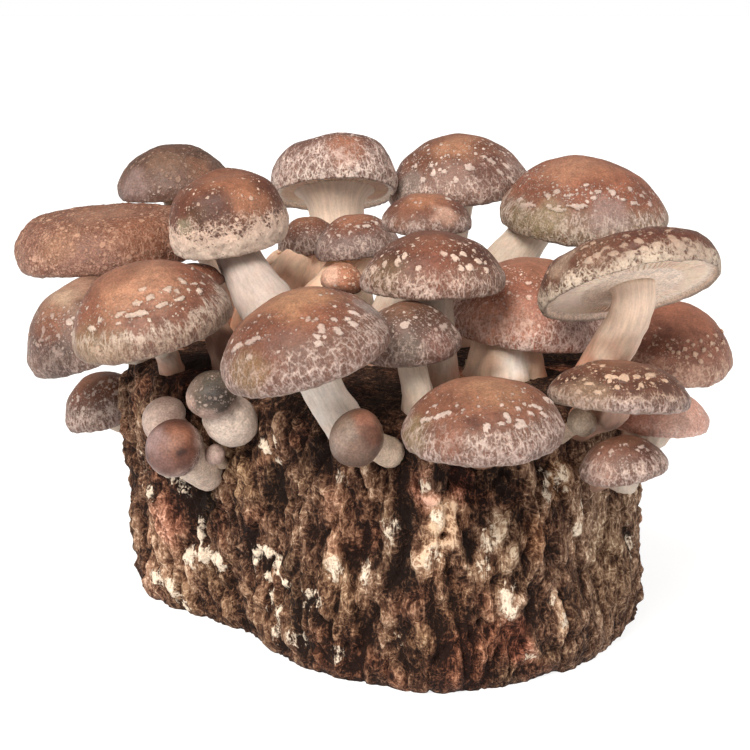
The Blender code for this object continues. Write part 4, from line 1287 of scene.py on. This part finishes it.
                 (664, 382, 1.4, 0.8, -20), (617, 388, 1.0, 0.8, 0), (578, 392, 1.2, 0.8, 20),
                 (640, 386, 0.9, 0.9, 0)),
        stains=((640, 368, 9, (104, 64, 50), 0.6), (585, 400, 8, (176, 146, 120), 0.6),
                (560, 408, 6, (184, 158, 132), 0.6))),
    "under_right": dict(
        # its colours are brighter than its own: painted light on a cap that stands in shade
        foot=(75, -52, 66), stem=(5, 4), brown=(240, 184, 164), dark=(186, 132, 114), gap=(226, 174, 158),
        pale=(256, 222, 208), low=(256, 226, 214), net=(0.4, 1.0), cover=0.6, flecks=(0.1, 0.3, 0.8),
        scales=(0, 0, 1),
        stains=((625, 425, 8, (236, 170, 146), 0.8), (680, 420, 7, (250, 204, 186), 0.6))),
    "bottom_right": dict(
        foot=(65, -66, 58), stem=(4, 3.8), brown=(140, 100, 84), dark=(92, 60, 50), net=(0.45, 0.85),
        cover=0.85, flecks=(0.2, 0.3, 0.8), scales=(0, 0, 1),
        patches=((640, 447, 1.5, 0.6, 20), (612, 452, 1.0, 0.8, 0), (625, 446, 0.9, 0.6, 0)),
        stains=((648, 455, 5, (96, 58, 46), 0.9), (600, 470, 6, (176, 136, 122), 0.7),
                (610, 448, 5, (140, 96, 80), 0.6))),
}

buttons = {
    "grey": dict(
        cap=(-50, -69, 83), lean=(-22, 34), size=(7.9, 6.5), stem=30, form=swollenForm,
        stemTint=(240, 218, 202), brown=(102, 87, 75), dark=(68, 57, 49), tan=(118, 103, 91),
        gap=(186, 160, 148), pale=(196, 174, 162), flecks=(0.28, 0, 1.1),
        stains=((208, 385, 5, (84, 76, 66), 0.9), (218, 398, 5, (56, 44, 38), 0.95),
                (186, 402, 5, (206, 170, 154), 0.9), (208, 417, 5, (196, 164, 150), 0.8),
                (192, 385, 4, (150, 128, 116), 0.6))),
    "brown": dict(
        cap=(-62.4, -63, 65.2), lean=(-22, 50), size=(9, 7), stem=24, form=stoutForm,
        stemTint=(250, 224, 204), brown=(128, 84, 68), dark=(92, 56, 46), tan=(150, 104, 86),
        gap=(176, 148, 138), pale=(216, 192, 182), low=(236, 214, 202), net=(0.72, 1.1), cover=0.75,
        stains=((178, 438, 5, (170, 114, 88), 0.6), (152, 440, 6, (168, 140, 136), 0.9),
                (190, 456, 5, (104, 62, 48), 0.9), (184, 451, 1.6, (60, 32, 24), 0.9),
                (179, 454, 1.2, (60, 32, 24), 0.9), (160, 462, 5, (140, 104, 96), 0.6))),
    "pale": dict(
        # its colours are brighter than its own: painted light on a button in partial shade
        cap=(-67, -46, 70), lean=(-40, 25), size=(7.6, 7), stem=22, brown=(226, 198, 184),
        dark=(190, 156, 142), tan=(236, 212, 198), gap=(232, 208, 194)),
    "pin": dict(
        cap=(-50.5, -58, 62), lean=(-14, 50), size=(3.2, 3), stem=8, brown=(200, 172, 160),
        dark=(164, 132, 124), tan=(210, 186, 174), gap=(194, 170, 160)),
    "foot": dict(
        cap=(-6.6, -109, 79.2), lean=(-25, 55), size=(8.0, 6.8), stem=24, stemTint=(240, 214, 190),
        brown=(116, 86, 69), dark=(88, 58, 46), tan=(122, 96, 82), gap=(200, 174, 154),
        stains=((340, 432, 6, (146, 126, 112), 0.8), (335, 446, 5, (160, 138, 126), 0.7),
                (366, 418, 5, (160, 106, 86), 0.7), (372, 438, 4, (104, 66, 52), 0.8),
                (358, 452, 4, (138, 112, 98), 0.6))),
    "knob": dict(
        cap=(57.5, -87.5, 79), lean=(24, 50), size=(4.3, 4), stem=15, brown=(206, 184, 162),
        dark=(164, 144, 126), tan=(214, 194, 172), gap=(196, 176, 154)),
    "low": dict(
        # its colours and its pale stain are brighter than its own: painted light on a button in shade
        cap=(-12.6, -9.2, 108), lean=(10, 4), size=(7, 6), stem=26, brown=(206, 142, 110),
        dark=(164, 106, 82), pale=(262, 216, 188), flecks=(0.3, 0.0, 1.3),
        stains=((327, 274, 5, (252, 206, 182), 0.8),)),
    "hidden": dict(
        cap=(19, -88.5, 85.2), lean=(4, 10), size=(4, 3.4), stem=10, brown=(166, 108, 84),
        dark=(130, 80, 62)),
}

dressLog()
print("bark made")
for index, (name, plan) in enumerate(mushrooms.items()):
    cap = dressCap(name, plan, index)
    dressStem(name, plan, cap, index)
print(len(mushrooms), "mushrooms made")
for index, (name, plan) in enumerate(buttons.items()):
    dressButton(name, plan, index)
print(len(buttons), "buttons made")


# A plain pale floor and soft studio light
studio = dict(
    floor=(150, 150, 150), glow=0.84,  # the floor's own colour, and its own light, which hides most shadow
    low=1.0, high=0.34, lowTo=0.008, highFrom=0.05,  # the surroundings' strength near the floor and overhead
    warm=(1.0, 0.93, 0.85), floorReach=30.0,
    suns=(  # name, where it shines from, its strength and its width in degrees
        ("key", (-0.46, -1.0, 0.92), 4.5, 34),
        ("fill", (1.0, -0.5, 0.55), 1.0, 60),
    ),
)


def makeStudio():
    mesh = bpy.data.meshes.new("floor")
    far = studio["floorReach"]
    mesh.from_pydata([(-far, -far, 0), (far, -far, 0), (far, far, 0), (-far, far, 0)], [], [(0, 1, 2, 3)])
    floor = bpy.data.objects.new("floor", mesh)
    bpy.context.scene.collection.objects.link(floor)
    material, _, shader = newMaterial("floor")
    shader.inputs["Base Color"].default_value = (*tint(*studio["floor"]), 1)
    shader.inputs["Emission Color"].default_value = (1, 1, 1, 1)
    setShader(shader, Roughness=0.9, Specular_IOR_Level=0.1, Emission_Strength=studio["glow"])
    mesh.materials.append(material)
    for name, spot, strength, width in studio["suns"]:
        data = bpy.data.lights.new(name, "SUN")
        data.energy = strength
        data.angle = math.radians(width)
        data.color = studio["warm"]
        light = bpy.data.objects.new(name, data)
        light.location = spot
        light.rotation_euler = (-Vector(spot)).to_track_quat("-Z", "Y").to_euler()
        bpy.context.scene.collection.objects.link(light)
    world = bpy.data.worlds.new("studio")
    bpy.context.scene.world = world
    world.use_nodes = True
    tree = world.node_tree
    way = add(tree, "ShaderNodeTexCoord").outputs["Generated"]
    height = add(tree, "ShaderNodeSeparateXYZ", {0: way}).outputs[2]
    strength = between(tree, height, studio["lowTo"], studio["highFrom"], studio["low"], studio["high"])
    tree.links.new(strength, tree.nodes["Background"].inputs[1])
    tree.nodes["Background"].inputs[0].default_value = (1, 1, 1, 1)
    bpy.context.scene.view_settings.view_transform = "Standard"


makeStudio()
